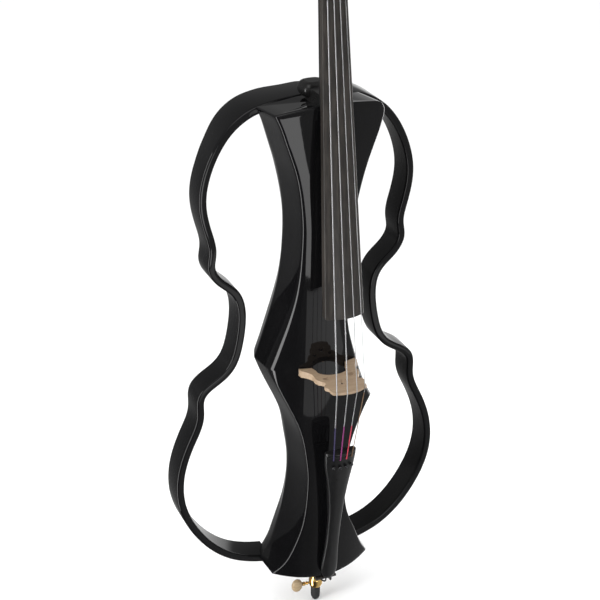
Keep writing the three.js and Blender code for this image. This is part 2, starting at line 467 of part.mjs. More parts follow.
// underside chamber for the tuner levers, open at the back
tailpiece = tailpiece.subtract(solid(loft([TZ0, TZ1].map((z) => [V(z === TZ1 ? -17.8 : -19.5, tpCrown(-150) + 11.2, z), V(z === TZ1 ? 17.8 : 19.5, tpCrown(-150) + 11.2, z), V(z === TZ1 ? 17.8 : 19.5, tpCrown(-150) + 40, z), V(z === TZ1 ? -17.8 : -19.5, tpCrown(-150) + 40, z)]))));
const tx = STRING_X_TAIL.map((x) => x * 0.82), leverX = STRING_X_TAIL.map((x) => x * 0.8);
const tunerZ = -146.5, HOLE_Z = -133.2;
const TN = V(0, -Math.cos(0.1717), -Math.sin(0.1717) * -1).normalize(); // normal of the tailpiece's front
const strings = {}, levers = {}, tuners = {};
const names = ["C", "G", "D", "A"];
const tailEnd = (i) => V(STRING_X_TAIL[i], tpCrown(TZ0) + 12.2 - 1.5, TZ0 + 0.3);
names.forEach((n, i) => {
  const X = leverX[i], r = STRING_R[i];
  // the string skims over the top end and turns down through a hole into the chamber
  const yb = -BRIDGE_H[i], yl = tpCrown(-150) + 12.0, w0 = tpW(HOLE_Z);
  const turn = V(X, tpCrown(HOLE_Z) + 0.38 * w0 * (X / w0) ** 2 - r - 0.6, HOLE_Z), end = V(X, yl - 0.4, -135.2);
  const bp = V(STRING_X_BRIDGE[i], yb, -4.5);
  tailpiece = tailpiece.subtract(solid(wire([end.clone().add(V(0, 2, -0.3)), turn, bp], r + 0.45, 8)));
  // string: peg, nut, bridge, tuner lever
  const pa = pegA[n], side = i < 2 ? -1 : 1;
  const px = STRING_X_NUT[i] * 0.75;
  const pts = [
    end,
    turn,
    bp,
    V(STRING_X_NUT[i], -5.9 + fbArch(STRING_X_NUT[i]), NUT_Z + 3.5),
    PB(px, pa - 1, pegB - PEG_R - r - 0.35),
    PB(px, pa + 3, pegB - PEG_R - r + 0.25),
  ];
  pts[5] = PB(px, pa + 2.2, pegB - PEG_R - r - 0.2);
  strings[n] = solid(wire(pts, r, 6));
  // lever in the chamber: a bar turning on a cross pin near its string end
  const lv = solid(box(X - 2.4, X + 2.4, yl, yl + 3.4, -157.5, TZ0 - 1.3)).add(solid(box(X - 2.4, X + 2.4, yl, yl + 6, -138.5, TZ0 - 1.3)));
  levers[n] = lv;
  // tuner screw: head over the front, shank through to the lever
  const front = V(X, tpCrown(tunerZ) + 0.38 * tpW(tunerZ) * (X / tpW(tunerZ)) ** 2, tunerZ);
  const axis = V(0, -1, 0);
  const hA = V(X, front.y - 1.6, tunerZ), hB = V(X, front.y - 5.2, tunerZ);
  let sc = solid(rod(V(X, yl - 0.35, tunerZ), V(X, front.y - 2.4, tunerZ), 1.5, 1.5, 16)).add(solid(rod(hA, hB, 2.8, 2.6, 18)));
  tuners[n] = sc;
  tailpiece = tailpiece.subtract(solid(rod(V(X, -200, tunerZ), V(X, tpCrown(-150) + 14, tunerZ), 1.8, 1.8, 16)));
});
// gut holes at the lower end
for (const s of [-1, 1]) tailpiece = tailpiece.subtract(solid(rod(V(s * 4.2, tpCrown(-376) + 6, -366), V(s * 4.2, tpCrown(-376) + 6, -390), 1.7, 1.7, 12)));
// tail gut: from the tailpiece, over the saddle, round the collar
const gy = tpCrown(-376) + 6;
const gutHalf = [[4.2, gy, -366.5], [4.2, gy, -376], [4.3, gy, -383], [5, gy + 2.6, -389.6], [7, -6, -392.9], [9.2, 8, -393], [10.7, 22, -392.8], [10.8, 32, -392.8], [8.6, 39.6, -392.8], [0, 43, -392.8]];
const gutPts = gutHalf.map(([x, y, z]) => V(-x, y, z)).concat(gutHalf.slice(0, -1).reverse().map(([x, y, z]) => V(x, y, z)));
const tailgut = solid(tube(gutPts, 1.25, 6, 34));
// lower saddle on the body's bottom edge
const saddle = solid(loft([[-17], [17]].map(([x]) => [V(x, -10.6, CORE_BOTTOM - 0.9), V(x, -10.2, -388.6), V(x, -8.4, -391.2), V(x, -4, -390), V(x, -2, CORE_BOTTOM - 0.9)])));

// ---- rear electronics bay ----
const BAY = { x0: -26, x1: 26, z0: -100, z1: 10, y0: 62 };
core = core.subtract(solid(box(BAY.x0, BAY.x1, BAY.y0, 130, BAY.z0, BAY.z1)));
core = core.subtract(solid(box(BAY.x0 - 5, BAY.x1 + 5, CORE_BACK_Y - 2.9, 130, BAY.z0 - 5, BAY.z1 + 5)));
const cover0 = CORE_BACK_Y - 2.6, cover1 = CORE_BACK_Y - 0.1;
let cover = solid(box(BAY.x0 - 4.6, BAY.x1 + 4.6, cover0, cover1, BAY.z0 - 4.6, BAY.z1 + 4.6));
const DOOR = { x0: -25.2, x1: 25.2, z0: -97.5, z1: -65 };
cover = cover.subtract(solid(box(DOOR.x0 - 0.4, DOOR.x1 + 0.4, 90, 110, DOOR.z0 - 0.4, DOOR.z1 + 0.4)));
let door = solid(box(DOOR.x0, DOOR.x1, cover0, cover1, DOOR.z0, DOOR.z1));
door = door.subtract(solid(box(-9, 9, cover1 - 1.2, 110, DOOR.z1 - 6.5, DOOR.z1 - 3.5)));
const battery = solid(box(-21.4, 25, 80.5, 98, DOOR.z0 + 2.6, DOOR.z0 + 29.1)).add(solid(rod(V(-24.4, 89.2, -75.2), V(-21, 89.2, -75.2), 2.8, 2.8, 12))).add(solid(rod(V(-24.4, 89.2, -88), V(-21, 89.2, -88), 3.3, 3.3, 6)));
let board = solid(box(-25, 25, 84, 85.6, -60, 7));
for (const x of [-15, 15]) board = board.add(solid(box(x - 6, x + 6, 85.5, 93, -16, -4)));
board = board.add(solid(box(-6, 6, 85.5, 89, -38, -26))).add(solid(box(-20, -12, 85.5, 88, -33, -25)));
for (const x of [-22.5, 22.5]) for (const z of [-57, 4.5]) board = board.subtract(solid(rod(V(x, 80, z), V(x, 90, z), 1.5, 1.5, 10)));
const KN = [["volume_knob", -15, -10], ["tone_knob", 15, -10]];
const knobs = {};
for (const [n, x, z] of KN) {
  cover = cover.subtract(solid(rod(V(x, 90, z), V(x, 110, z), 3.6, 3.6, 14)));
  knobs[n] = solid(rod(V(x, 93.5, z), V(x, cover1 + 2, z), 3, 3, 14)).add(solid(rod(V(x, cover1 + 0.8, z), V(x, cover1 + 11, z), 8.6, 7.8, 24))).subtract(solid(box(x - 0.6, x + 0.6, cover1 + 10, cover1 + 20, z + 2, z + 12)));
}
const sockets = {};
for (const [n, x, r, ro] of [["jack_socket", -14, 3.3, 6.2], ["headphone_socket", 14, 1.9, 4.2]]) {
  const z = -42;
  cover = cover.subtract(solid(rod(V(x, 90, z), V(x, 110, z), ro - 0.9, ro - 0.9, 14)));
  sockets[n] = solid(rod(V(x, 86, z), V(x, cover1 + 0.5, z), ro - 1.2, ro - 1.2, 14)).add(solid(rod(V(x, cover1 + 0.3, z), V(x, cover1 + 2.8, z), ro + 0.6, ro + 0.6, 6))).subtract(solid(rod(V(x, 88, z), V(x, 115, z), r, r, 12)));
}
const coverScrews = {};
[[-28.3, 12.3], [28.3, 12.3], [-28.3, -102.3], [28.3, -102.3]].forEach(([x, z], i) => {
  const h = solid(rod(V(x, 92, z), V(x, 110, z), 1.5 + 0.25, 1.5 + 0.25, 12)).add(solid(rod(V(x, cover1 - 1.4, z), V(x, cover1 + 0.3, z), 1.75, 2.8, 12)));
  cover = cover.subtract(h);
  core = core.subtract(solid(rod(V(x, 91, z), V(x, 110, z), 1.75, 1.75, 12)));
  coverScrews["cover_screw_" + (i + 1)] = solid(rod(V(x, 92.5, z), V(x, cover1 - 1.2, z), 1.4, 1.4, 12))
    .add(solid(rod(V(x, cover1 - 1.25, z), V(x, cover1, z), 1.4, 2.2, 12)))
    .subtract(solid(rod(V(x, cover1 - 0.8, z), V(x, cover1 + 1, z), 0.9, 0.9, 6)));
});
// the door swings on its lower edge
// the neck rests on the body with a hairline gap
for (const o of [[0, 0, 0.35], [0, -0.35, 0], [0, -0.35, 0.35], [0.3, 0, 0.3], [-0.3, 0, 0.3]]) neck = neck.subtract(core.translate(o));
neck = neck.subtract(solid(loft(barRings(-1, 0.35)))).subtract(solid(loft(barRings(1, 0.35))));
for (const [name, x, z, yh, yt] of holes) neck = neck.subtract(screwHole(x, z, yh, yt));

// ---- scene graph ----
const mat = (color, roughness, metalness = 0) => new THREE.MeshStandardMaterial({ color, roughness, metalness });
const LACQUER = 0x08080a, EBONY = 0x2b2622, MAPLE = 0xd2b68c, GOLD = 0xd8a83a, STEEL = 0xb9bcc0, BLACK = 0x101012;
const root = new THREE.Group();
root.position.set(0, -AXIS_Y, -TIP_Z);
function put(name, s, material) {
  const parts = s.decompose().filter((b) => Math.abs(b.volume()) > 0.5);
  const m = new THREE.Mesh(geoOf(parts.length === 1 ? parts[0] : s), material);
  m.name = name;
  root.add(m);
}
put("centre_body", core, mat(LACQUER, 0.08));
put("frame_bar_left", barL, mat(LACQUER, 0.08));
put("frame_bar_right", barR, mat(LACQUER, 0.08));
put("neck", neck, mat(BLACK, 0.35));
put("fingerboard", fingerboard, mat(EBONY, 0.45));
put("nut", nut, mat(EBONY, 0.4));
for (const n of names) {
  put("peg_" + n, pegs[n], mat(EBONY, 0.4));
  put("string_" + n, strings[n], mat(STEEL, 0.3, 1));
  put("tuner_screw_" + n, tuners[n], mat(BLACK, 0.3, 0.6));
  put("tuner_lever_" + n, levers[n], mat(STEEL, 0.4, 0.9));
}
put("bridge", bridge, mat(MAPLE, 0.6));
put("pickup_left", pickup(-1), mat(BLACK, 0.5));
put("pickup_right", pickup(1), mat(BLACK, 0.5));
put("tailpiece", tailpiece, mat(BLACK, 0.5));
put("tailgut", tailgut, mat(BLACK, 0.6));
put("saddle", saddle, mat(EBONY, 0.45));
put("endpin_collar", collar, mat(GOLD, 0.2, 1));
put("endpin_rod", pinRod, mat(STEEL, 0.25, 1));
put("endpin_rubber_tip", rubber, mat(BLACK, 0.8));
put("clamp_screw", clampStem, mat(GOLD, 0.25, 1));
put("clamp_knob", clampKnob, mat(0xc9a878, 0.5));
for (const [n, s] of screws) put(n, s, mat(STEEL, 0.35, 1));
put("rear_cover", cover, mat(BLACK, 0.4));
put("battery_door", door, mat(BLACK, 0.5));
put("battery", battery, mat(0x2a3038, 0.4));
put("preamp_board", board, mat(0x1f5a33, 0.5));
for (const [n, s] of Object.entries(knobs)) put(n, s, mat(BLACK, 0.35));
for (const [n, s] of Object.entries(sockets)) put(n, s, mat(STEEL, 0.3, 1));
for (const [n, s] of Object.entries(coverScrews)) put(n, s, mat(STEEL, 0.35, 1));

export default root;
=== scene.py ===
import math
import bpy, bmesh
import numpy as np
from mathutils import Vector, Matrix


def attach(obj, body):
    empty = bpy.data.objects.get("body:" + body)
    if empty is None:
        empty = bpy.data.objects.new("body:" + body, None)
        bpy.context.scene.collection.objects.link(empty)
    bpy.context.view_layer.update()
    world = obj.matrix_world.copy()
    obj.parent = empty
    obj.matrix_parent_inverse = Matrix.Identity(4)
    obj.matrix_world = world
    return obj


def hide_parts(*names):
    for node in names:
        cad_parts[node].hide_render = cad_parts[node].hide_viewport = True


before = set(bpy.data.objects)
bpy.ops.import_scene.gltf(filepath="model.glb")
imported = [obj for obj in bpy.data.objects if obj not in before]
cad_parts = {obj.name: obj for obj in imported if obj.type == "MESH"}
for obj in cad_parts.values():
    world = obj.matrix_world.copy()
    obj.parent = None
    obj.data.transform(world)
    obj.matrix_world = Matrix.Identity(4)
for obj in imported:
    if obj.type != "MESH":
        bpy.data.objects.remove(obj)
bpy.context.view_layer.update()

# Everything below is laid out in the instrument's working frame: millimetres, zero at the bridge feet,
# +X treble, -Y towards the strings, +Z up. P() brings it to the row frame in metres.
TIP = 458.0
AXIS_Y = 32.0


def P(x, y, z):
    return (x / 1000.0, (y - AXIS_Y) / 1000.0, (z + TIP) / 1000.0)


def ss(a, b, v):
    t = min(1.0, max(0.0, (v - a) / (b - a)))
    return t * t * (3 - 2 * t)


def curve(table):
    t = sorted(table)
    n = len(t)
    m = []
    for i in range(n):
        if i == 0:
            m.append((t[1][1] - t[0][1]) / (t[1][0] - t[0][0]))
        elif i == n - 1:
            m.append((t[i][1] - t[i - 1][1]) / (t[i][0] - t[i - 1][0]))
        else:
            m.append((t[i + 1][1] - t[i - 1][1]) / (t[i + 1][0] - t[i - 1][0]))

    def f(z):
        if z <= t[0][0]:
            return t[0][1]
        if z >= t[-1][0]:
            return t[-1][1]
        i = 0
        while z > t[i + 1][0]:
            i += 1
        h = t[i + 1][0] - t[i][0]
        s = (z - t[i][0]) / h
        s2, s3 = s * s, s * s * s
        return (2 * s3 - 3 * s2 + 1) * t[i][1] + (s3 - 2 * s2 + s) * h * m[i] + (-2 * s3 + 3 * s2) * t[i + 1][1] + (s3 - s2) * h * m[i + 1]

    return f


def faired(table, sigma=9.0):
    """The same curve, faired so that reflections run smoothly along it; its ends stay where they are."""
    f = curve(table)
    zs = sorted(z for z, _ in table)
    a, b = zs[0], zs[-1]
    g = np.linspace(a, b, int(b - a) + 1)
    v = np.array([f(z) for z in g])
    pad = int(4 * sigma)
    left = 2 * v[0] - v[1:pad + 1][::-1]
    right = 2 * v[-1] - v[-pad - 1:-1][::-1]
    full = np.concatenate([left, v, right])
    k = np.exp(-0.5 * (np.arange(-pad, pad + 1) / sigma) ** 2)
    k /= k.sum()
    out = np.convolve(full, k, mode="same")[pad:-pad]
    return lambda z: float(np.interp(z, g, out))


# ------------------------------------------------------------------ mesh helpers
def link(o):
    bpy.context.scene.collection.objects.link(o)
    return o


def mesh_object(name, verts, faces, scaled=False):
    me = bpy.data.meshes.new(name)
    me.from_pydata([tuple(v) if scaled else P(*v) for v in verts], [], faces)
    me.validate()
    bm = bmesh.new()
    bm.from_mesh(me)
    bmesh.ops.remove_doubles(bm, verts=bm.verts, dist=2e-6)
    bmesh.ops.recalc_face_normals(bm, faces=bm.faces)
    bm.to_mesh(me)
    bm.free()
    return link(bpy.data.objects.new(name, me))


def loft(rings, cap=True):
    n = len(rings[0])
    verts = [p for r in rings for p in r]
    faces = []
    for i in range(len(rings) - 1):
        for j in range(n):
            a, b = i * n + j, i * n + (j + 1) % n
            faces.append((a, b, b + n, a + n))
    if cap:
        faces.append(tuple(range(n))[::-1])
        faces.append(tuple((len(rings) - 1) * n + j for j in range(n)))
    return verts, faces


def merged(parts):
    verts, faces = [], []
    for v, f in parts:
        k = len(verts)
        verts += list(v)
        faces += [tuple(i + k for i in q) for q in f]
    return verts, faces


def box(x0, x1, y0, y1, z0, z1):
    v = [(x0, y0, z0), (x1, y0, z0), (x1, y1, z0), (x0, y1, z0), (x0, y0, z1), (x1, y0, z1), (x1, y1, z1), (x0, y1, z1)]
    return v, [(3, 2, 1, 0), (4, 5, 6, 7), (0, 1, 5, 4), (1, 2, 6, 5), (2, 3, 7, 6), (3, 0, 4, 7)]


def round_box(x0, x1, y0, y1, z0, z1, r, seg=3, axis="y"):
    """Box with its corners rounded in the plane across the axis, and a small edge round on both faces."""
    lo = {"x": (y0, y1, z0, z1, x0, x1), "y": (x0, x1, z0, z1, y0, y1), "z": (x0, x1, y0, y1, z0, z1)}[axis]
    a0, a1, b0, b1, c0, c1 = lo

    def ring(inn):
        pts = []
        for cx, cy, s in ((a1 - r, b1 - r, 0), (a0 + r, b1 - r, 1), (a0 + r, b0 + r, 2), (a1 - r, b0 + r, 3)):
            for k in range(seg + 1):
                t = (s + k / seg) * math.pi / 2
                pts.append((cx + (r - inn) * math.cos(t), cy + (r - inn) * math.sin(t)))
        return pts

    e = min(0.6, 0.3 * (c1 - c0), 0.8 * r)
    rings = []
    for inn, c in ((e, c0), (e * 0.3, c0 + e * 0.3), (0, c0 + e), (0, c1 - e), (e * 0.3, c1 - e * 0.3), (e, c1)):
        q = ring(inn)
        if axis == "x":
            rings.append([(c, a, b) for a, b in q])
        elif axis == "y":
            rings.append([(a, c, b) for a, b in q])
        else:
            rings.append([(a, b, c) for a, b in q])
    return loft(rings)


def frame_of(d):
    d = np.array(d, float)
    d /= np.linalg.norm(d)
    u = np.cross(d, (0, 0, 1.0)) if abs(d[2]) < 0.9 else np.cross(d, (1.0, 0, 0))
    u /= np.linalg.norm(u)
    return d, u, np.cross(d, u)


def lathe(profile, a, b, seg=32):
    """Profile of (distance along a->b in mm, radius) turned about that line; closed by flat ends."""
    a, b = np.array(a, float), np.array(b, float)
    d, u, w = frame_of(b - a)
    rings = []
    for t, r in profile:
        c = a + d * t
        r = max(r, 0.02)
        rings.append([tuple(c + r * (math.cos(q) * u + math.sin(q) * w)) for q in (2 * math.pi * k / seg for k in range(seg))])
    return loft(rings)


def rounded_profile(profile, e=0.35, n=3):
    """Breaks each corner of a (t, r) profile with a small round."""
    out = [profile[0]]
    for i in range(1, len(profile) - 1):
        p, c, q = map(np.array, (profile[i - 1], profile[i], profile[i + 1]))
        d0, d1 = p - c, q - c
        l0, l1 = np.linalg.norm(d0), np.linalg.norm(d1)
        if l0 < 1e-6 or l1 < 1e-6:
            out.append(tuple(c))
            continue
        k = min(e, l0 * 0.4, l1 * 0.4)
        A, B = c + d0 / l0 * k, c + d1 / l1 * k
        for s in range(n + 1):
            t = s / n
            out.append(tuple((1 - t) ** 2 * A + 2 * t * (1 - t) * c + t * t * B))
    out.append(profile[-1])
    return out


def sweep(points, radius, sides=16, cap=True, flat=None):
    """Tube along points (mm) with a rotation-minimising frame. radius may be a function of the share 0..1."""
    pts = [np.array(p, float) for p in points]
    n = len(pts)
    tan = []
    for i in range(n):
        d = pts[min(n - 1, i + 1)] - pts[max(0, i - 1)]
        tan.append(d / np.linalg.norm(d))
    _, u, _ = frame_of(tan[0])
    rings = []
    for i in range(n):
        u = u - tan[i] * np.dot(u, tan[i])
        u /= np.linalg.norm(u)
        w = np.cross(tan[i], u)
        r = radius(i / (n - 1)) if callable(radius) else radius
        rings.append([tuple(pts[i] + r * (math.cos(q) * u + math.sin(q) * w)) for q in (2 * math.pi * (k + 0.5) / sides for k in range(sides))])
    return loft(rings, cap)


def spline(points, per=8, closed=False):
    """Centripetal Catmull-Rom through points, any dimension."""
    p = [np.array(q, float) for q in points]
    n = len(p)
    out = []
    last = n if closed else n - 1
    for i in range(last):
        p1, p2 = p[i % n], p[(i + 1) % n]
        p0 = p[(i - 1) % n] if closed or i > 0 else 2 * p1 - p2
        p3 = p[(i + 2) % n] if closed or i + 2 < n else 2 * p2 - p1
        t0 = 0.0
        t1 = t0 + max(1e-6, np.linalg.norm(p1 - p0)) ** 0.5
        t2 = t1 + max(1e-6, np.linalg.norm(p2 - p1)) ** 0.5
        t3 = t2 + max(1e-6, np.linalg.norm(p3 - p2)) ** 0.5
        for k in range(per):
            t = t1 + (t2 - t1) * k / per
            a1 = (t1 - t) / (t1 - t0) * p0 + (t - t0) / (t1 - t0) * p1
            a2 = (t2 - t) / (t2 - t1) * p1 + (t - t1) / (t2 - t1) * p2
            a3 = (t3 - t) / (t3 - t2) * p2 + (t - t2) / (t3 - t2) * p3
            b1 = (t2 - t) / (t2 - t0) * a1 + (t - t0) / (t2 - t0) * a2
            b2 = (t3 - t) / (t3 - t1) * a2 + (t - t1) / (t3 - t1) * a3
            out.append((t2 - t) / (t2 - t1) * b1 + (t - t1) / (t2 - t1) * b2)
    if not closed:
        out.append(p[-1])
    return out


def baked(o):
    """Applies the object's modifiers to its mesh."""
    bpy.context.view_layer.update()
    dg = bpy.context.evaluated_depsgraph_get()
    me = bpy.data.meshes.new_from_object(o.evaluated_get(dg), depsgraph=dg)
    o.modifiers.clear()
    o.data = me
    return o


def boolean(o, parts, op="DIFFERENCE"):
    for k, (v, f) in enumerate(parts):
        c = mesh_object("cutter_tmp", v, f)
        m = o.modifiers.new("b%d" % k, "BOOLEAN")
        m.operation, m.solver, m.object = op, "EXACT", c
        baked(o)
        bpy.data.objects.remove(c)
    return o


def smooth(o, angle=35):
    o.data.shade_smooth()
    o.data.set_sharp_from_angle(angle=math.radians(angle))
    return o


def bevel(o, width_mm, seg=2, angle=35):
    m = o.modifiers.new("edge", "BEVEL")
    m.width, m.segments, m.limit_method, m.angle_limit = width_mm / 1000, seg, "ANGLE", math.radians(angle)
    m.harden_normals = False
    return baked(o)


MATS = {}


def finish(o, mat, body="body", nodes=(), angle=35):
    o.data.materials.clear()
    o.data.materials.append(MATS[mat])
    smooth(o, angle)
    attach(o, body)
    if nodes:
        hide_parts(*nodes)
    return o


# ------------------------------------------------------------------ materials
def material(name, base, rough, metal=0.0, ior=1.5, second=None, grain=(1, 1, 1), scale=60, mix=(0.35, 0.75), rough_var=0.05,
             bump=None, detail=4, spec=None, coat=0.0, coat_rough=0.05, wave=None, flecks=None):
    m = bpy.data.materials.new(name)
    m.use_nodes = True
    nt = m.node_tree
    b = nt.nodes["Principled BSDF"]
    b.inputs["Base Color"].default_value = (*base, 1)
    b.inputs["Roughness"].default_value = rough
    b.inputs["Metallic"].default_value = metal
    b.inputs["IOR"].default_value = ior
    if spec is not None:
        b.inputs["Specular IOR Level"].default_value = spec
    if coat:
        b.inputs["Coat Weight"].default_value = coat
        b.inputs["Coat Roughness"].default_value = coat_rough
    tc = nt.nodes.new("ShaderNodeTexCoord")
    mp = nt.nodes.new("ShaderNodeMapping")
    mp.inputs["Scale"].default_value = grain
    nt.links.new(tc.outputs["Object"], mp.inputs["Vector"])
    nz = nt.nodes.new("ShaderNodeTexNoise")
    nz.inputs["Scale"].default_value = scale
    nz.inputs["Detail"].default_value = detail
    nt.links.new(mp.outputs["Vector"], nz.inputs["Vector"])
    if second:
        mr = nt.nodes.new("ShaderNodeMapRange")
        mr.inputs["From Min"].default_value, mr.inputs["From Max"].default_value = mix
        nt.links.new(nz.outputs["Fac"], mr.inputs["Value"])
        mx = nt.nodes.new("ShaderNodeMix")
        mx.data_type = "RGBA"
        mx.inputs["A"].default_value = (*base, 1)
        mx.inputs["B"].default_value = (*second, 1)
        nt.links.new(mr.outputs["Result"], mx.inputs["Factor"])
        colour = mx.outputs["Result"]
        if flecks:
            fm = nt.nodes.new("ShaderNodeMapping")
            fm.inputs["Scale"].default_value = flecks["grain"]
            nt.links.new(tc.outputs["Object"], fm.inputs["Vector"])
            fn = nt.nodes.new("ShaderNodeTexNoise")
            fn.inputs["Scale"].default_value = flecks["scale"]
            fn.inputs["Detail"].default_value = 2
            nt.links.new(fm.outputs["Vector"], fn.inputs["Vector"])
            fr = nt.nodes.new("ShaderNodeMapRange")
            fr.inputs["From Min"].default_value, fr.inputs["From Max"].default_value = flecks["mix"]
            nt.links.new(fn.outputs["Fac"], fr.inputs["Value"])
            m2 = nt.nodes.new("ShaderNodeMix")
            m2.data_type = "RGBA"
            m2.inputs["B"].default_value = (*flecks["colour"], 1)
            nt.links.new(fr.outputs["Result"], m2.inputs["Factor"])
            nt.links.new(colour, m2.inputs["A"])
            colour = m2.outputs["Result"]
        nt.links.new(colour, b.inputs["Base Color"])
    if rough_var:
        rr = nt.nodes.new("ShaderNodeMapRange")
        rr.inputs["To Min"].default_value = max(0.0, rough - rough_var)
        rr.inputs["To Max"].default_value = rough + rough_var
        nt.links.new(nz.outputs["Fac"], rr.inputs["Value"])
        nt.links.new(rr.outputs["Result"], b.inputs["Roughness"])
    height = None
    if wave:
        wm = nt.nodes.new("ShaderNodeMapping")
        wm.inputs["Scale"].default_value = (1, 1, 1)
        nt.links.new(tc.outputs["Object"], wm.inputs["Vector"])
        wv = nt.nodes.new("ShaderNodeTexWave")
        wv.wave_type, wv.bands_direction, wv.wave_profile = "BANDS", wave["axis"], "SIN"
        wv.inputs["Scale"].default_value = wave["scale"]
        wv.inputs["Distortion"].default_value = 0
        nt.links.new(wm.outputs["Vector"], wv.inputs["Vector"])
        height = wv.outputs["Fac"]
        bump = bump or {"strength": wave["strength"], "dist": wave["dist"]}
    if bump:
        bp = nt.nodes.new("ShaderNodeBump")
        bp.inputs["Strength"].default_value = bump["strength"]
        bp.inputs["Distance"].default_value = bump["dist"]
        if height is None:
            bn = nt.nodes.new("ShaderNodeTexNoise")
            bn.inputs["Scale"].default_value = bump.get("scale", scale)
            bn.inputs["Detail"].default_value = 3
            nt.links.new((mp if bump.get("grain") else tc).outputs["Vector" if bump.get("grain") else "Object"], bn.inputs["Vector"])
            height = bn.outputs["Fac"]
        nt.links.new(height, bp.inputs["Height"])
        nt.links.new(bp.outputs["Normal"], b.inputs["Normal"])
    MATS[name] = m
    return m


material("lacquer", (0.0030, 0.0030, 0.0033), 0.035, ior=1.33, second=(0.0042, 0.0041, 0.0045), scale=9, rough_var=0.012,
         bump={"strength": 0.05, "dist": 0.0002, "scale": 90})
material("neck_satin", (0.0065, 0.0065, 0.0065), 0.28, ior=1.38, second=(0.0095, 0.0090, 0.0088), scale=30, rough_var=0.05,
         bump={"strength": 0.08, "dist": 0.0003, "scale": 300})
material("ebony", (0.018, 0.0156, 0.0138), 0.40, ior=1.42, second=(0.038, 0.032, 0.027), grain=(9, 9, 0.5), scale=26, mix=(0.42, 0.72), rough_var=0.07,
         bump={"strength": 0.25, "dist": 0.0002, "scale": 60, "grain": True}, detail=7)
material("maple", (0.275, 0.194, 0.125), 0.48, ior=1.42, second=(0.335, 0.247, 0.166), grain=(0.7, 6, 6), scale=55, mix=(0.35, 0.65), rough_var=0.06,
         bump={"strength": 0.2, "dist": 0.0002, "scale": 90, "grain": True}, detail=6,
         flecks={"grain": (1.6, 9, 5), "scale": 240, "mix": (0.63, 0.72), "colour": (0.27, 0.16, 0.085)})
material("tail_black", (0.006, 0.006, 0.0063), 0.30, ior=1.36, second=(0.009, 0.009, 0.0093), scale=160, rough_var=0.06,
         bump={"strength": 0.12, "dist": 0.0002, "scale": 900})
material("plastic_black", (0.018, 0.018, 0.019), 0.45, ior=1.46, second=(0.028, 0.028, 0.029), scale=220, rough_var=0.06,
         bump={"strength": 0.3, "dist": 0.0003, "scale": 1400})
material("knob_black", (0.013, 0.013, 0.014), 0.28, ior=1.48, second=(0.02, 0.02, 0.021), scale=120, rough_var=0.05,
         bump={"strength": 0.1, "dist": 0.0002, "scale": 700})
material("tuner_nickel", (0.045, 0.045, 0.048), 0.26, metal=1.0, second=(0.07, 0.07, 0.073), scale=200, rough_var=0.05)
material("gold", (0.93, 0.62, 0.22), 0.14, metal=1.0, second=(0.86, 0.54, 0.16), scale=70, rough_var=0.05,
         bump={"strength": 0.05, "dist": 0.0002, "scale": 500})
material("steel", (0.56, 0.56, 0.57), 0.22, metal=1.0, second=(0.64, 0.64, 0.65), grain=(1, 1, 12), scale=60, rough_var=0.07,
         bump={"strength": 0.05, "dist": 0.0001, "scale": 300, "grain": True})
material("string_steel", (0.46, 0.46, 0.47), 0.34, metal=1.0, second=(0.40, 0.40, 0.41), scale=120, rough_var=0.03,
         bump={"strength": 0.03, "dist": 0.00003, "scale": 500})
for _n, _c, _d in (("silk_violet", (0.016, 0.010, 0.055), (0.03, 0.02, 0.09)), ("silk_magenta", (0.16, 0.008, 0.10), (0.23, 0.02, 0.15)),
                   ("silk_red", (0.44, 0.02, 0.055), (0.56, 0.04, 0.08)), ("silk_amber", (0.13, 0.07, 0.035), (0.20, 0.115, 0.055))):
    material(_n, _c, 0.55, second=_d, grain=(1, 1, 6), scale=300, rough_var=0.08, wave={"axis": "Z", "scale": 520, "strength": 0.5, "dist": 0.0002})
material("rubber", (0.014, 0.014, 0.015), 0.62, second=(0.022, 0.022, 0.022), scale=180, rough_var=0.08,
         bump={"strength": 0.3, "dist": 0.0003, "scale": 900})
material("tan_wood", (0.30, 0.215, 0.12), 0.42, second=(0.42, 0.315, 0.19), grain=(0.6, 6, 6), scale=70, mix=(0.35, 0.65), rough_var=0.08,
         bump={"strength": 0.2, "dist": 0.0002, "scale": 120, "grain": True}, detail=6)
material("gut", (0.016, 0.016, 0.016), 0.55, second=(0.03, 0.03, 0.03), scale=500, rough_var=0.08, wave={"axis": "DIAGONAL", "scale": 300, "strength": 0.7, "dist": 0.0003})
material("board", (0.02, 0.14, 0.06), 0.40, second=(0.03, 0.20, 0.09), scale=400, mix=(0.5, 0.55), rough_var=0.05, bump={"strength": 0.2, "dist": 0.0001, "scale": 600})
material("battery", (0.05, 0.055, 0.07), 0.30, second=(0.075, 0.08, 0.10), scale=40, rough_var=0.05, coat=0.3, bump={"strength": 0.05, "dist": 0.0002, "scale": 200})

# ------------------------------------------------------------------ centre body
WL, WR = -4.0, -82.0
LU = faired([(WL, -85), (10, -79.5), (28, -74), (59, -64), (85, -56.5), (113, -49.5), (145, -44.5), (175, -41.8), (222, -40), (255, -42), (284, -45.5), (310, -51), (331, -58), (352, -65), (372, -73), (391, -83)])
LD = faired([(-375, -84), (-364, -74), (-352, -64.5), (-335, -56), (-316, -49), (-292, -41), (-270, -36.5), (-240, -33), (-215, -31.5), (-190, -31), (-151, -35), (-125, -39), (-105, -44.5), (-80, -54), (-55, -65), (-30, -75.5), (WL, -85)])
RU = faired([(WR, 84.5), (-60, 73), (-35, 62.5), (-17, 56), (20, 44.5), (45, 37.5), (71, 33), (100, 31.5), (130, 32.5), (160, 34.5), (190, 37), (255, 47.5), (285, 54.5), (314, 63), (340, 72.5), (360, 80), (372, 84.5), (391, 87.5)])
RD = faired([(-375, 84.5), (-360, 74.5), (-340, 64), (-309, 52), (-285, 41), (-262, 35), (-240, 33), (-215, 33), (-190, 35.5), (-168, 39), (-147, 44.5), (-117, 58.5), (-100, 69.5), (WR, 84.5)])
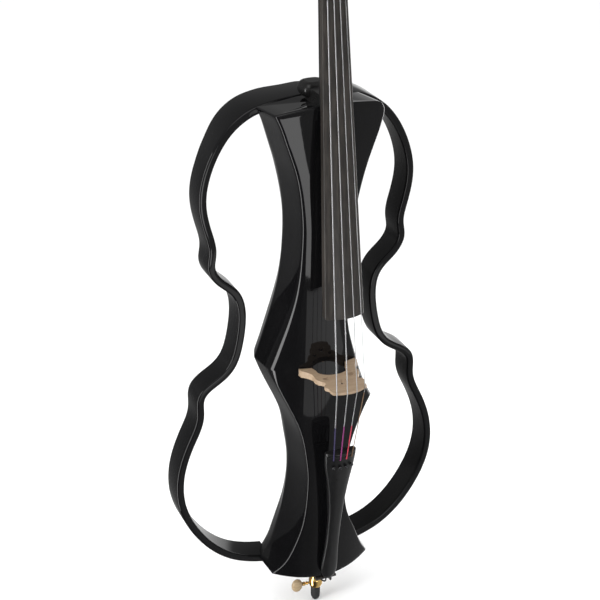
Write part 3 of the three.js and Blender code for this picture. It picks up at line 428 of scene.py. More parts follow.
flare = faired([(-375, 3), (-300, 9), (-215, 6), (-100, 4), (0, 5.5), (100, 4), (220, 3), (330, 4), (391, 1)], 14)
archK = faired([(-375, 0.0038), (180, 0.0038), (228, 0.0037), (270, 0.00265), (310, 0.0019), (350, 0.00147), (391, 0.0012)], 12)
archC = faired([(-375, -10), (290, -10), (350, -12), (391, -14)], 14)
taper = faired([(-375, 0.2), (-335, 0.4), (-290, 1), (-235, 1), (-200, 0.7), (-150, 0.2), (-60, 0.2), (-4, 0.5), (30, 1), (180, 1), (249, 0.5), (300, 0), (391, 0)], 12)


def fy(x, z):
    return archC(z) + archK(z) * x * x - 5 * ss(50, 88, abs(x)) * math.exp(-abs(z - (WL if x < 0 else WR)) / 28)


def left(z):
    return LU(z) if z >= WL else LD(z)


def right(z):
    r = RU(z) if z >= WR else RD(z)
    return r - (14 - math.sqrt(max(0.0, 196 - (z - 377) ** 2)) if z > 377 else 0)


def fil_left(z):
    if z >= WL:
        return 5 + 11 * (1 - ss(WL, 200, z))
    return 3.2 + 12.8 * (1 - ss(0, 30, WL - z))


def fil_right(z):
    if z >= WR:
        return 4 + 5 * (1 - ss(WR, 120, z))
    return 3.2 + 5.8 * (1 - ss(0, 30, WR - z))


def bez(A, C, B, n):
    A, B, C = np.array(A, float), np.array(B, float), np.array(C, float)
    return [tuple((1 - t) ** 2 * A + 2 * t * (1 - t) * C + t * t * B) for t in (k / n for k in range(n + 1))]


def towards(a, b, d):
    a, b = np.array(a, float), np.array(b, float)
    return tuple(a + (b - a) / np.linalg.norm(b - a) * d)


def end_shift(x, y, z):
    u = max(0.0, 1 - (x / 86.0) ** 2)
    if z > 355:
        z += ((z - 355) / 36) * (8 * u + (8 * (64 - min(y, 64))) / 70)
    if z < -335:
        z -= ((-335 - z) / 40) * 9.5 * u
    return (x, y, z)


def ring2d(z, nf=36, nfil=7):
    l, r, fb = left(z), right(z), flare(z)
    lb, rb = l - fb, r + fb
    fl, fr = fil_left(z), fil_right(z)
    tk = taper(z)
    mix = lambda a, b: lb + a + (b - a) * tk
    l0, l1, l2 = mix(-0.32 * lb, 19), mix(-0.18 * lb, 15.5), mix(-0.07 * lb, 9)
    pts = []
    C = (l, fy(l, z))
    pts += bez(towards(C, (lb, 64), fl), C, (l + fl, fy(l + fl, z)), nfil)
    xs = np.linspace(l + fl, r - fr, nf + 1)[1:-1]
    pts += [(x, fy(x, z)) for x in xs]
    C = (r, fy(r, z))
    pts += bez((r - fr, fy(r - fr, z)), C, towards(C, (rb, 64), fr), nfil)
    side = towards(C, (rb, 64), fr)
    pts += [(side[0] + (rb - side[0]) * t, side[1] + (64 - side[1]) * t) for t in (0.25, 0.5, 0.75, 0.93)]
    back = spline([(rb, 64), (rb * 0.93, 84), (rb * 0.82, 98), (rb * 0.68, 104)], 4)
    pts += [tuple(q) for q in back]
    pts += [(rb * 0.68 + (l0 - rb * 0.68) * t, 104.0) for t in (0.12, 0.25, 0.38, 0.5, 0.62, 0.75, 0.88)]
    back = spline([(l0, 104), (l1, 98), (l2, 84), (lb, 64)], 4)
    pts += [tuple(q) for q in back]
    side = towards((l, fy(l, z)), (lb, 64), fl)
    pts += [(lb + (side[0] - lb) * t, 64 + (side[1] - 64) * t) for t in (0.07, 0.25, 0.5, 0.75)]
    return pts


def inset(pts, d):
    n = len(pts)
    q = np.array(pts, float)
    out = []
    area = 0.5 * sum(q[i][0] * q[(i + 1) % n][1] - q[(i + 1) % n][0] * q[i][1] for i in range(n))
    s = 1 if area > 0 else -1
    for i in range(n):
        t = q[(i + 1) % n] - q[(i - 1) % n]
        t /= np.linalg.norm(t) + 1e-9
        out.append(tuple(q[i] + s * d * np.array([-t[1], t[0]])))
    return out


zs = sorted(set([float(z) for z in np.arange(-371.5, 388, 5.0)] + [WL, WR, WL - 1.5, WL + 1.5, WR - 1.5, WR + 1.5]))
zs = [z for z in zs if -371.5 <= z <= 387.5 and not any(0 < abs(z - w) < 1.2 for w in (WL, WR))]
rings = []
RT = 3.2
for k in range(5):
    t = (k / 5) * math.pi / 2
    z = -375 + RT * (1 - math.sin(t)) * 1.0
    rings.append([end_shift(x, y, -375 + RT * (1 - math.sin(t))) for x, y in inset(ring2d(-375 + RT), RT * (1 - math.cos(t)))][:])
rings = rings[::-1]
rings = [[end_shift(x, y, -375 + RT * (1 - math.cos(t))) for x, y in inset(ring2d(-375 + RT * (1 - math.cos(t))), RT * (1 - math.sin(t)))] for t in (k / 6 * math.pi / 2 for k in range(6))]
rings += [[end_shift(x, y, z) for x, y in ring2d(z)] for z in zs if z > -375 + RT + 0.5 and z < 391 - RT - 0.5]
rings += [[end_shift(x, y, 391 - RT * (1 - math.cos(t))) for x, y in inset(ring2d(391 - RT * (1 - math.cos(t))), RT * (1 - math.sin(t)))] for t in (k / 6 * math.pi / 2 for k in range(5, -1, -1))]


def capped(rings):
    """Loft with both ends closed by rows that shrink to the middle, so a crowned end stays crowned."""
    v, f = loft(rings, cap=False)
    n = len(rings[0])
    v = list(v)
    for end, ring in ((0, rings[0]), (1, rings[-1])):
        base = 0 if end == 0 else (len(rings) - 1) * n
        c = np.mean(np.array(ring), axis=0)
        prev = base
        for s in (0.75, 0.5, 0.25):
            k = len(v)
            v += [tuple(c + (np.array(p) - c) * s) for p in ring]
            for j in range(n):
                a, b = prev + j, prev + (j + 1) % n
                q = (a, b, k + (j + 1) % n, k + j)
                f.append(q if end else q[::-1])
            prev = k
        v.append(tuple(c))
        for j in range(n):
            q = (prev + j, prev + (j + 1) % n, len(v) - 1)
            f.append(q if end else q[::-1])
    return v, f


core = mesh_object("centre_body_shell", *capped(rings))
BAY = (-26.0, 26.0, 62.0, 130.0, -100.0, 10.0)
cuts = [box(-130, 130, 64, 140, 386, 440), box(*BAY), box(-31, 31, 101.1, 130, -105, 15),
        lathe([(0, 12.4), (38, 12.4)], (0, AXIS_Y, -420), (0, AXIS_Y, -380), 32)]
boolean(core, cuts)
finish(core, "lacquer", "body", ["centre_body"], 30)

# ------------------------------------------------------------------ side bars
OUTLINE = [
    (0.2, 401.5), (19, 400.5), (46, 398), (66, 395), (84, 391), (98, 385), (112, 376.5), (125, 366), (136, 353.5), (146.5, 338), (155, 322), (162, 305), (167, 289), (170.5, 272), (171.5, 256),
    (170.5, 240), (167.5, 224), (163.5, 208), (159.5, 194), (157.2, 182), (158, 171), (160.3, 161), (160.5, 151), (157, 140), (150, 129), (139.5, 118.5), (128, 109.5), (119.5, 99), (115, 86),
    (113.3, 71), (113.8, 55), (116, 38), (119, 21), (123, 5), (128.5, -9), (137, -20), (148.5, -28.5), (162, -36), (174, -44.5), (181.5, -55), (184.3, -67), (183.8, -80), (183.5, -92), (187, -106),
    (194, -121), (202, -137), (209, -154), (215, -172), (219.3, -191), (221, -210), (220.8, -229), (217.8, -248), (212.5, -266), (205, -284), (195, -302), (183, -320), (169, -337), (153, -352),
    (136, -364.5), (118, -373.5), (99, -380), (84, -384), (70, -386.5),
]
_fine = np.array(spline(OUTLINE, 5))
_k = np.exp(-0.5 * (np.arange(-9, 10) / 3.2) ** 2)
_k /= _k.sum()
_pad = 9
_ext = np.concatenate([2 * _fine[0] - _fine[1:_pad + 1][::-1], _fine, 2 * _fine[-1] - _fine[-_pad - 1:-1][::-1]])
_sm = np.stack([np.convolve(_ext[:, i], _k, mode="same")[_pad:-_pad] for i in (0, 1)], 1)
BAR_T, BAR_F = 12.3, 64.3


def bar(side):
    n = len(_sm)
    rings = []
    for i in range(n):
        a, b = _sm[max(0, i - 1)], _sm[min(n - 1, i + 1)]
        t = (b - a) / np.linalg.norm(b - a)
        if i == 0:
            t = np.array([1.0, 0.0])
        ix, iz = t[1], -t[0]
        x, z = _sm[i]
        depth = 44 + 14 * ss(335, 392, z) + (6 * ss(20, 60, x) * ss(300, 360, z) if side < 0 else 0)
        y0, y1 = BAR_F, BAR_F + depth
        sec = []
        for cx, cy, s, r in ((BAR_T, y1, 0, 2.0), (0, y1, 1, 2.0), (0, y0, 2, 3.0), (BAR_T, y0, 3, 3.0)):
            sx, sy = (-1 if cx > 0 else 1), (-1 if cy == y1 else 1)
            ox, oy = cx + sx * r, cy + sy * r
            for k in range(6):
                q = (s + k / 5) * math.pi / 2
                sec.append((ox + r * math.cos(q), oy + r * math.sin(q)))
        rings.append([(side * (x + ix * d), y, z + iz * d) for d, y in sec])
    return loft(rings)


for side, nm in ((-1, "left"), (1, "right")):
    o = mesh_object("side_bar_" + nm, *bar(side))
    boolean(o, [lathe([(0, 5.0), (8, 5.0)], (side * 13, 118.4, 394.3), (side * 13, 130, 394.3), 24)])
    finish(o, "lacquer", "body", ["frame_bar_" + nm], 32)

# ------------------------------------------------------------------ fingerboard, nut
NUT_Z, FB_END, W0, W1, FB_R = 688.0, 105.0, 15.5, 30.5, 58.0


def fbT(z):
    return (NUT_Z - z) / (NUT_Z - FB_END)


def fbW(z):
    return W0 + (W1 - W0) * fbT(z)


def fbCrown(z):
    return -4 - 67.5 * fbT(z)


def fbArch(x):
    return FB_R - math.sqrt(FB_R * FB_R - x * x)


def fbUnder(z):
    return fbCrown(z) + fbArch(fbW(z)) + 10 + 2.5 * fbT(z)


rings = []
FZ = [FB_END, FB_END + 0.25, FB_END + 0.9] + list(np.linspace(FB_END + 8, NUT_Z - 1, 46)) + [NUT_Z]
for q, z in enumerate(FZ):
    e = {0: 0.9, 1: 0.35, 2: 0.0}.get(q, 0.0)
    w = fbW(z) - e
    r = []
    y_top = lambda x: fbCrown(z) + fbArch(x) + e
    corner = (-w, y_top(w))
    r += bez((-w + 0.05, y_top(w) + 1.1), corner, (-w + 1.1, y_top(w - 1.1)), 3)
    r += [(x, y_top(x)) for x in np.linspace(-w + 1.1, w - 1.1, 25)[1:-1]]
    r += bez((w - 1.1, y_top(w - 1.1)), (w, y_top(w)), (w - 0.05, y_top(w) + 1.1), 3)
    u = fbUnder(z) - e
    r += bez((w - 0.5, u - 0.8), (w - 0.6, u), (w - 1.4, u), 2) + bez((-w + 1.4, u), (-w + 0.6, u), (-w + 0.5, u - 0.8), 2)
    rings.append([(x, y, z) for x, y in r])
fb = mesh_object("fingerboard_board", *loft(rings))
hollow = []
for z, top in ((FB_END - 5, 11), (160, 10.7), (240, 10), (310, 8.6), (372, 6.5)):
    w = fbW(z) - 6
    y = fbUnder(z)
    hollow.append([(-w, y + 2, z)] + [(-w * math.cos(t), y - top * math.sin(t) ** 0.8, z) for t in np.linspace(0.15, math.pi - 0.15, 13)] + [(w, y + 2, z)])
boolean(fb, [loft(hollow)])
finish(fb, "ebony", "body", ["fingerboard"], 30)

rings = []
for z, k in ((NUT_Z + 0.3, 0.35), (NUT_Z + 0.7, 0.05), (NUT_Z + 2.6, 0.0), (NUT_Z + 3.8, 0.35), (NUT_Z + 4.5, 1.1), (NUT_Z + 4.7, 1.8)):
    w = W0 - 0.1 - 0.2 * k
    r = [(x, -3.9 + fbArch(x) + k) for x in np.linspace(-w, w, 33)]
    r += [(w, fbUnder(NUT_Z) - 0.4 - 0.3 * k), (-w, fbUnder(NUT_Z) - 0.4 - 0.3 * k)]
    rings.append([(x, y, z) for x, y in r])
nut = mesh_object("nut_block", *loft(rings))
SXB, SXN = (-23, -7.7, 7.7, 23), (-10.8, -3.6, 3.6, 10.8)
SXT, SR, BH = (-18.6, -6.2, 6.2, 18.6), (0.9, 0.75, 0.6, 0.5), (90, 93.5, 93.3, 87.5)
finish(nut, "ebony", "body", ["nut"], 30)

# ------------------------------------------------------------------ neck, heel, pegbox, scroll
LEAN = math.radians(15)


def PB(x, a, b):
    return (x, 2 + a * math.sin(LEAN) + b * math.cos(LEAN), NUT_Z + 4 + a * math.cos(LEAN) - b * math.sin(LEAN))


def pbHalf(a):
    return 19.5 - 5 * ss(0, 125, a)


def pbDepth(a):
    return 29 - 7 * ss(0, 130, a)


HEEL = 424.0
parts = []
rings = []
for z in [383.5, 392, 402, 412, 424, 432, 442, 455, 475] + list(np.linspace(500, 660, 12)) + [672, 680, 687, 694]:
    zz = min(z, NUT_Z)
    w, y = fbW(zz) - 0.8, fbUnder(zz) + 0.7
    d = max(7, 17 * ss(380, 424, z)) if z < HEEL else 18 + 2 * ss(640, 700, z)
    r = [(-w, y, z), (0, y, z), (w, y, z)]
    r += [(w * math.cos(a), y + d * math.sin(a), z) for a in (i / 24 * math.pi for i in range(1, 24))]
    rings.append(r)
parts.append(loft(rings))


def heel_ring(z, k, dx=0.0):
    pts = []
    for i in range(48):
        t = i / 48 * 2 * math.pi
        c, s = math.cos(t), math.sin(t)
        pts.append((-3 + 20 * k * math.copysign(abs(c) ** 0.6, c), 49 + 18.5 * k * math.copysign(abs(s) ** 0.6, s), z))
    return pts


parts.append(capped([heel_ring(z, k) for z, k in ((404.2, 0.76), (404.9, 0.81), (406.1, 0.87), (407.8, 0.925), (409.6, 0.962), (411.6, 0.988), (414, 1.0), (416.4, 0.988), (418.5, 0.962), (420.4, 0.92), (422.1, 0.86), (423.5, 0.79), (424.6, 0.71), (425.4, 0.60))]))
parts.append(loft([[(-15, fbUnder(z) + 0.8, z), (15, fbUnder(z) + 0.8, z), (12, 50, z), (-14, 50, z)] for z in (384, HEEL - 4)]))


def pb_ring(a, h, b0, b1, ch):
    q = [(-h, b0), (h, b0)] + bez((h, b1 - ch), (h, b1), (h - ch, b1), 4) + bez((-h + ch, b1), (-h, b1), (-h, b1 - ch), 4)
    return [PB(x, a, b) for x, b in q]


parts.append(loft([pb_ring(a, pbHalf(a), 1.5, pbDepth(a), 5.5) for a in [2.6] + list(np.linspace(12, 138, 12))]))
neck = mesh_object("neck_and_scroll", *parts[0])
boolean(neck, parts[1:], "UNION")
cav = [[PB(-pbHalf(a) + 7, a, -8), PB(pbHalf(a) - 7, a, -8), PB(pbHalf(a) - 7, a, pbDepth(a) - 6), PB(-pbHalf(a) + 7, a, pbDepth(a) - 6)] for a in (12, 26, 40, 55, 70, 85, 100, 116)]
boolean(neck, [loft(cav)])
# scroll: a ribbon wound inwards on itself, each turn standing further out to the sides
eye = (150.0, 12.0)
turn = []
N = 110
for i in range(N + 1):
    t = i / N
    th = math.radians(-118 + 760 * t)
    r = 26.9 * (1 - t) ** 0.85 * 0.80 + 5.2
    r = min(r, 26.9)
    h = 12.2 + 9.0 * t ** 0.8
    if t < 0.12:
        h = 13.4 - 1.2 * (t / 0.12)
    thick = 8.6 * (1 - t) + 4.2
    c, s = math.cos(th), math.sin(th)
    ca, cb = eye[0] - 2 * t, eye[1] - 2 * t
    sec = []
    for xx, rr in ((-h, r - thick), (-h + 0.2, r - 1.4), (-h + 1.5, r), (-h * 0.35, r - 1.6 * (1 - t)), (0, r + 0.0), (h * 0.35, r - 1.6 * (1 - t)), (h - 1.5, r), (h - 0.2, r - 1.4), (h, r - thick)):
        rr = max(rr, 0.5)
        sec.append(PB(xx, ca + rr * c, cb + rr * s))
    turn.append(sec)
scroll = merged([loft(turn),
                 lathe(rounded_profile([(0, 0), (0, 6.4), (43, 6.4), (43, 0)], 1.2), PB(-21.5, eye[0] - 2, eye[1] - 2), PB(21.5, eye[0] - 2, eye[1] - 2), 28),
                 lathe(rounded_profile([(0, 0), (0, 24.5), (23, 24.5), (23, 0)], 1.0), PB(-11.5, eye[0], eye[1]), PB(11.5, eye[0], eye[1]), 48)])
k = len(neck.data.vertices)
sc_obj = mesh_object("scroll_volute", *scroll)
finish(sc_obj, "neck_satin", "body", [], 42)
pegA = {"C": 32, "G": 80, "D": 102, "A": 52}
PEGB, PEGR = 12.5, 5.5
boolean(neck, [lathe([(0, PEGR + 0.25), (60, PEGR + 0.25)], PB(-30, a, PEGB), PB(30, a, PEGB), 24) for a in pegA.values()])
finish(neck, "neck_satin", "body", ["neck"], 32)


def peg(a, side):
    h = pbHalf(a)
    prof = rounded_profile([(0, 0.0), (0, 4.9), (h * 2 - 1, 5.45), (h * 2 - 1 + 1.2, 5.5), (h * 2 + 0.7, 5.5), (h * 2 + 0.7, 7.4), (h * 2 + 3.9, 7.4), (h * 2 + 3.9, 5.2), (h * 2 + 8, 4.4), (h * 2 + 13, 4.9), (h * 2 + 14, 0.0)], 0.5)
    shaft = lathe(prof, PB(-side * (h - 0.5), a, PEGB), PB(side * (h + 14), a, PEGB), 28)
    rings = []
    for x, w, t in spline([(h + 10, 5.2, 5.0), (h + 12, 6.4, 5.5), (h + 16, 9.5, 5.0), (h + 22, 12.6, 3.9), (h + 29, 13.6, 3.9), (h + 35, 11.4, 4.6), (h + 38.6, 7.4, 4.2), (h + 40.4, 3.2, 2.4)], 4):
        ring = []
        for j in range(28):
            q = j / 28 * 2 * math.pi
            c, s = math.cos(q), math.sin(q)
            hollow = 1 - 0.22 * (1 - abs(c)) * ss(h + 14, h + 24, x) * (1 - ss(h + 33, h + 38, x))
            ring.append(PB(side * x, a + w * c, PEGB + t * s * hollow))
        rings.append(ring)
    head = loft(rings)
    bead = lathe([(0, 1.2), (0.8, 2.3), (1.8, 2.6), (2.7, 2.2), (3.2, 1.2)], PB(side * (h + 38.9), a, PEGB), PB(side * (h + 42), a, PEGB), 18)
    return merged([shaft, head, bead])


for n, side in (("C", -1), ("G", -1), ("D", 1), ("A", 1)):
    o = mesh_object("tuning_peg_" + n, *peg(pegA[n], side))
    finish(o, "ebony", "peg_%s_body" % n, ["peg_" + n], 40)

# ------------------------------------------------------------------ bridge
def feet(x):
    return fy(x, -5) - 2.0


_cr = curve([(-27.5, -86.6)] + [(x, -BH[i] + SR[i] + 0.7) for i, x in enumerate(SXB)] + [(27.5, -84.2)])
top = [(x, _cr(x)) for x in np.linspace(-27.5, 27.5, 41)]
right_side = [(28.6, -80), (28.2, -74.5), (30.5, -71), (31.8, -66.5), (30.2, -62), (27, -59), (26.8, -55), (30, -51), (33.6, -45.5), (35.2, -38), (34.4, -31), (36.5, -24), (41, -17), (46.2, -12)]
right_side = [tuple(q) for q in spline([(27.5, -84.2)] + right_side, 4)][1:]
foot_r = [(46.8, feet(46.8) - 2.2), (46, feet(46)), (40, feet(40)), (33, feet(33)), (27, feet(27))]
arch = [tuple(q) for q in spline([(26.2, feet(27) - 3.4), (24.4, -18.5), (24.6, -24), (21.5, -30), (15, -35), (8, -37.6), (0, -38.4), (-8, -37.6), (-15, -35), (-21.5, -30), (-24.6, -24), (-24.4, -18.5), (-26.2, feet(27) - 3.4)], 4)]
foot_l = [(-x, y) for x, y in foot_r[::-1]]
left_side = [(-x, y) for x, y in right_side[::-1]]
ol = top + right_side + foot_r + arch + foot_l + left_side


def bridge_ring(share, inn):
    q = inset(ol, inn)
    r = []
    for x, y in q:
        f, b = -2.5 + 2.5 * ss(-88, -6, y), -6.6 - 4.4 * ss(-90, -6, y)
        r.append((x, y, b + (f - b) * share))
    return r


br = mesh_object("bridge_maple", *loft([bridge_ring(0.0, 0.45), bridge_ring(0.03, 0.12), bridge_ring(0.09, 0), bridge_ring(0.5, 0), bridge_ring(0.91, 0), bridge_ring(0.97, 0.12), bridge_ring(1.0, 0.45)]))


def hole_xy(pts, per=5):
    q = spline(pts, per, closed=True)
    return loft([[(x, y, -30) for x, y in q], [(x, y, 20) for x, y in q]])


boolean(br, [hole_xy([(0, -55), (3.4, -58.5), (6.4, -62.5), (6.6, -66), (4.2, -68), (1.6, -67), (0, -64.5), (-1.6, -67), (-4.2, -68), (-6.6, -66), (-6.4, -62.5), (-3.4, -58.5)]),
             hole_xy([(15, -49), (20, -50.5), (24, -48), (25, -44), (21.5, -42), (16.5, -43.5)]),
             hole_xy([(-15, -49), (-16.5, -43.5), (-21.5, -42), (-25, -44), (-24, -48), (-20, -50.5)])])
finish(br, "maple", "body", ["bridge"], 28)

# ------------------------------------------------------------------ tailpiece
tpW = faired([(-122, 25.2), (-130, 25.4), (-140, 24.6), (-152, 23.2), (-166, 20.8), (-180, 18.2), (-195, 16), (-218, 13.4), (-240, 11.8), (-262, 11), (-290, 10.7), (-315, 11.2), (-340, 12.8), (-355, 13.8), (-366, 13.6), (-374, 11.2), (-379, 7.6), (-381.5, 4)][::-1], 3)


def tpCrown(z):
    return -68.5 + ((z + 122) / -259.5) * 45


def tpDepth(z):
    return 17 - 4.5 * (1 - ss(-240, -140, z)) - 2 * (1 - ss(-370, -240, z))


rings = []
TZ = [-122, -122.3, -123, -124.2] + list(np.arange(-124.8, -133, -0.4)) + list(np.linspace(-133.4, -352, 58)) + [-356, -360, -364, -368, -371, -374, -376.5, -378.5, -380, -381, -381.5]
for q, z in enumerate(TZ):
    e = (1.3, 0.6, 0.2, 0.0)[q] if q < 4 else (0.0 if z > -376 else 1.6 * ss(376, 381.5, -z))
    w, c, d = tpW(z) - e, tpCrown(z) + e, tpDepth(z) - 2 * e
    lift = -1.0 * (1 - ss(126.2, 127.6, -z)) + 0.9 * ss(126.6, 127.8, -z) * (1 - ss(129.2, 130.6, -z))
    sag = 0.38 * w
    r = []
    yy = lambda x: c + sag * (x / w) ** 2 + lift * (1 - ss(0.86, 0.97, abs(x) / w))
    f = min(2.2, 0.25 * w)
    r += bez((-w * 0.995, yy(w) + f), (-w, yy(w)), (-w + f, yy(w - f)), 4)
    r += [(x, yy(x)) for x in np.linspace(-w + f, w - f, 31)[1:-1]]
    r += bez((w - f, yy(w - f)), (w, yy(w)), (w * 0.995, yy(w) + f), 4)
    r += bez((w * 0.945, c + d - 1.2), (w * 0.94, c + d), (w * 0.94 - 1.2, c + d), 2) + bez((-w * 0.94 + 1.2, c + d), (-w * 0.94, c + d), (-w * 0.945, c + d - 1.2), 2)
    rings.append([(x, y, z) for x, y in r])
tp = mesh_object("tailpiece_body", *loft(rings))
LX = [x * 0.8 for x in SXT]
TUNER_Z, HOLE_Z = -146.5, -133.2


def turn_point(i):
    X, w = LX[i], tpW(HOLE_Z)
    return np.array((X, tpCrown(HOLE_Z) + 0.38 * w * (X / w) ** 2 - SR[i] - 0.6, HOLE_Z))


cuts = []
yc = tpCrown(-150)
cuts.append(loft([[(s * -19.5, yc + 11.2, z), (s * 19.5, yc + 11.2, z), (s * 19.5, yc + 40, z), (s * -19.5, yc + 40, z)] for z, s in ((-131, 1), (-161, 0.93))]))
for i in range(4):
    X, r = LX[i], SR[i]
    q = turn_point(i)
    far = np.array((SXB[i], -BH[i], -4.5))
    go = (far - q) / np.linalg.norm(far - q)
    cuts.append(lathe([(0, r + 0.45), (60, r + 0.45)], q - go * 0.8, far, 24))
    cuts.append(lathe([(0, r + 0.5), (60, r + 0.5)], q - (0, 0.2, 0), (X, yc + 14, -135.3), 24))
    cuts.append(lathe([(0, 1.8), (120, 1.8)], (X, -200, TUNER_Z), (X, yc + 14, TUNER_Z), 20))
boolean(tp, cuts)
finish(tp, "tail_black", "body", ["tailpiece"], 32)
for i, n in enumerate("CGDA"):
    X = LX[i]
    w = tpW(TUNER_Z)
    front = tpCrown(TUNER_Z) + 0.38 * w * (X / w) ** 2
    shank = lathe(rounded_profile([(0, 0), (0, 1.5), (yc + 12 - 0.35 - (front - 2.0), 1.5), (yc + 12 - 0.35 - (front - 2.0), 0)], 0.2), (X, yc + 12 - 0.35, TUNER_Z), (X, front - 2.0, TUNER_Z), 16)
    rings = []
    for t, rr in rounded_profile([(0, 2.1), (0.4, 2.8), (3.0, 2.7), (3.6, 2.2), (3.6, 0.9), (3.2, 0.7)], 0.25):
        ring = []
        for k in range(48):
            q = k / 48 * 2 * math.pi
            rk = rr + (0.12 * math.cos(q * 16) if rr > 2.5 else 0)
            ring.append((X + rk * math.cos(q), front - 1.6 - t, TUNER_Z + rk * math.sin(q)))
        rings.append(ring)
    o = mesh_object("fine_tuner_" + n, *merged([shank, loft(rings)]))
    finish(o, "tuner_nickel", "tuner_%s_screw" % n, ["tuner_screw_" + n], 40)

# ------------------------------------------------------------------ strings with their silk ends
for i, n in enumerate("CGDA"):
    X, r = LX[i], SR[i]
    yb, tq = -BH[i], turn_point(i)
    yAt = lambda z: yb + (tq[1] - yb) * (z + 4.5) / (HOLE_Z + 4.5)
    xAt = lambda z: SXB[i] + (X - SXB[i]) * (z + 4.5) / (HOLE_Z + 4.5)
    px, pa = SXN[i] * 0.75, pegA[n]
    zsilk = (-68.0, -66.0, -68.0, -12.0)[i]
    nut_p = (SXN[i], -5.9 + fbArch(SXN[i]), NUT_Z + 3.5)
    br_p = (SXB[i], yb, -4.5)
    peg_p = PB(px, pa + 2.2, PEGB - PEGR - r - 0.2)
    bend = []
    lower = (xAt(zsilk + 0.2), yAt(zsilk + 0.2), zsilk + 0.2)
    a, c, b = map(np.array, (lower, br_p, nut_p))
    line = [lower] + [tuple(q) for q in bez(c + (a - c) / np.linalg.norm(a - c) * 2.4, c, c + (b - c) / np.linalg.norm(b - c) * 2.4, 6)]
    d = np.array(peg_p)
    line += [tuple(b + (c - b) / np.linalg.norm(c - b) * 60)]
    line += [tuple(q) for q in bez(b + (c - b) / np.linalg.norm(c - b) * 1.6, b, b + (d - b) / np.linalg.norm(d - b) * 1.6, 4)]
    line += [peg_p]
    main = sweep(line, r, 16)
    coils = []
    for k in range(61):
        q = k / 60 * 2 * math.pi * 3.5
        coils.append(PB(px + (k / 60) * 3.5 * (2 * r + 0.15) * (-1 if i in (0, 1) else 1) * -1, pa + (PEGR + r) * math.sin(q), PEGB - (PEGR + r) * math.cos(q)))
    o = mesh_object("string_line_" + n, *main)
    finish(o, "string_steel", "body", ["string_" + n], 60)
    w = mesh_object("string_winding_" + n, *sweep(coils, r, 10))
    finish(w, "string_steel", "peg_%s_body" % n, [], 60)
    silk = [(xAt(z), yAt(z), z) for z in np.linspace(zsilk, HOLE_Z + 1.6, 20)]
    silk += bez((xAt(HOLE_Z + 1.2), yAt(HOLE_Z + 1.2), HOLE_Z + 1.2), tq, tq + (0, 1.2, -0.15), 6) + [(X, yc + 11.0, -135.15)]
    rs = r + 0.14
    s = mesh_object("string_silk_" + n, *sweep(silk, lambda t: rs * (0.86 + 0.14 * ss(0, 0.03, t)), 16))
    finish(s, ("silk_violet", "silk_magenta", "silk_red", "silk_amber")[i], "body", [], 60)

# ------------------------------------------------------------------ tail gut, saddle, endpin
gy = tpCrown(-376) + 6
gh = [(4.2, gy, -366.5), (4.2, gy, -376), (4.3, gy, -383), (5, gy + 2.6, -389.6), (7, -6, -392.9), (9.2, 8, -393), (10.7, 22, -392.8), (10.8, 32, -392.8), (8.6, 39.6, -392.8), (0, 43, -392.8)]
gp = [(-x, y, z) for x, y, z in gh] + gh[:-1][::-1]
o = mesh_object("tail_cord", *sweep(spline(gp, 6), 1.25, 12))
finish(o, "gut", "body", ["tailgut"], 60)
sad = [[(x, y, z) for y, z in spline([(-10.6, -385.4), (-10.4, -388.6), (-8.4, -391.0), (-5.6, -391.2), (-3.4, -389.6), (-2.2, -385.4)], 4)] for x in (-17, -16.6, -8, 0, 8, 16.6, 17)]
o = mesh_object("lower_saddle", *loft(sad))
finish(o, "ebony", "body", ["saddle"], 35)

ROD = 5.0
collar_prof = [(10.2, -345), (11.5, -383.5), (11.5, -384.8), (14.5, -384.8), (14.5, -388), (9.2, -389.5), (9.2, -396), (11.8, -399), (11.8, -403), (9, -406), (8.6, -414), (10.6, -417.5), (11.2, -421), (11.2, -426.5), (9.6, -430.5), (7.6, -433), (ROD + 0.3, -433)]


def turned(profile, seg=48):
    rings = [[(r * math.cos(q), AXIS_Y + r * math.sin(q), z) for q in (2 * math.pi * k / seg for k in range(seg))] for r, z in profile]
    return rings


prof = [(z, r) for r, z in collar_prof]
prof = rounded_profile(prof, 0.7, 3)
prof = [(r, z) for z, r in prof]
inner = [(ROD + 0.3, -433), (ROD + 0.3, -345)]
v, f = loft(turned(prof + inner[1:]), cap=False)
n = 48
f += [((len(prof)) * n + j, (len(prof)) * n + (j + 1) % n, (j + 1) % n, j) for j in range(n)]
o = mesh_object("endpin_collar_gold", v, f)
finish(o, "gold", "body", ["endpin_collar"], 40)
rod_prof = [(0, 0), (0, 4.6), (0.6, 5.0)]
z = 14.0
for gz in (120, 160, 200, 240, 280, 320):
    rod_prof += [(gz, 5.0), (gz + 0.5, 4.7), (gz + 1.5, 4.7), (gz + 2.0, 5.0)]
rod_prof += [(468, 5.0), (470, 3.8), (470, 0)]
o = mesh_object("endpin_shaft", *lathe(rod_prof, (0, AXIS_Y, -445), (0, AXIS_Y, 25), 40))
finish(o, "steel", "endpin", ["endpin_rod"], 40)
tip = [(7.4, -433.4), (7.6, -436), (7.6, -438.4), (7.15, -438.9), (7.15, -439.8), (7.6, -440.3), (7.6, -448), (7.1, -452), (5.6, -455.8), (3.6, -458)]
prof = [(q[1], q[0]) for q in rounded_profile([(z_, r_) for r_, z_ in [(ROD + 0.3, -433.4)] + tip + [(0.05, -458)]], 0.5, 3)]
inner = [(0.05, -445.3), (ROD + 0.3, -445.3)]
v, f = loft(turned(prof + inner), cap=False)
m = len(prof) + 2
f += [((m - 1) * n + j, (m - 1) * n + (j + 1) % n, (j + 1) % n, j) for j in range(n)]
o = mesh_object("rubber_tip_bullet", v, f)
finish(o, "rubber", "endpin", ["endpin_rubber_tip"], 40)
CZ = -423.5
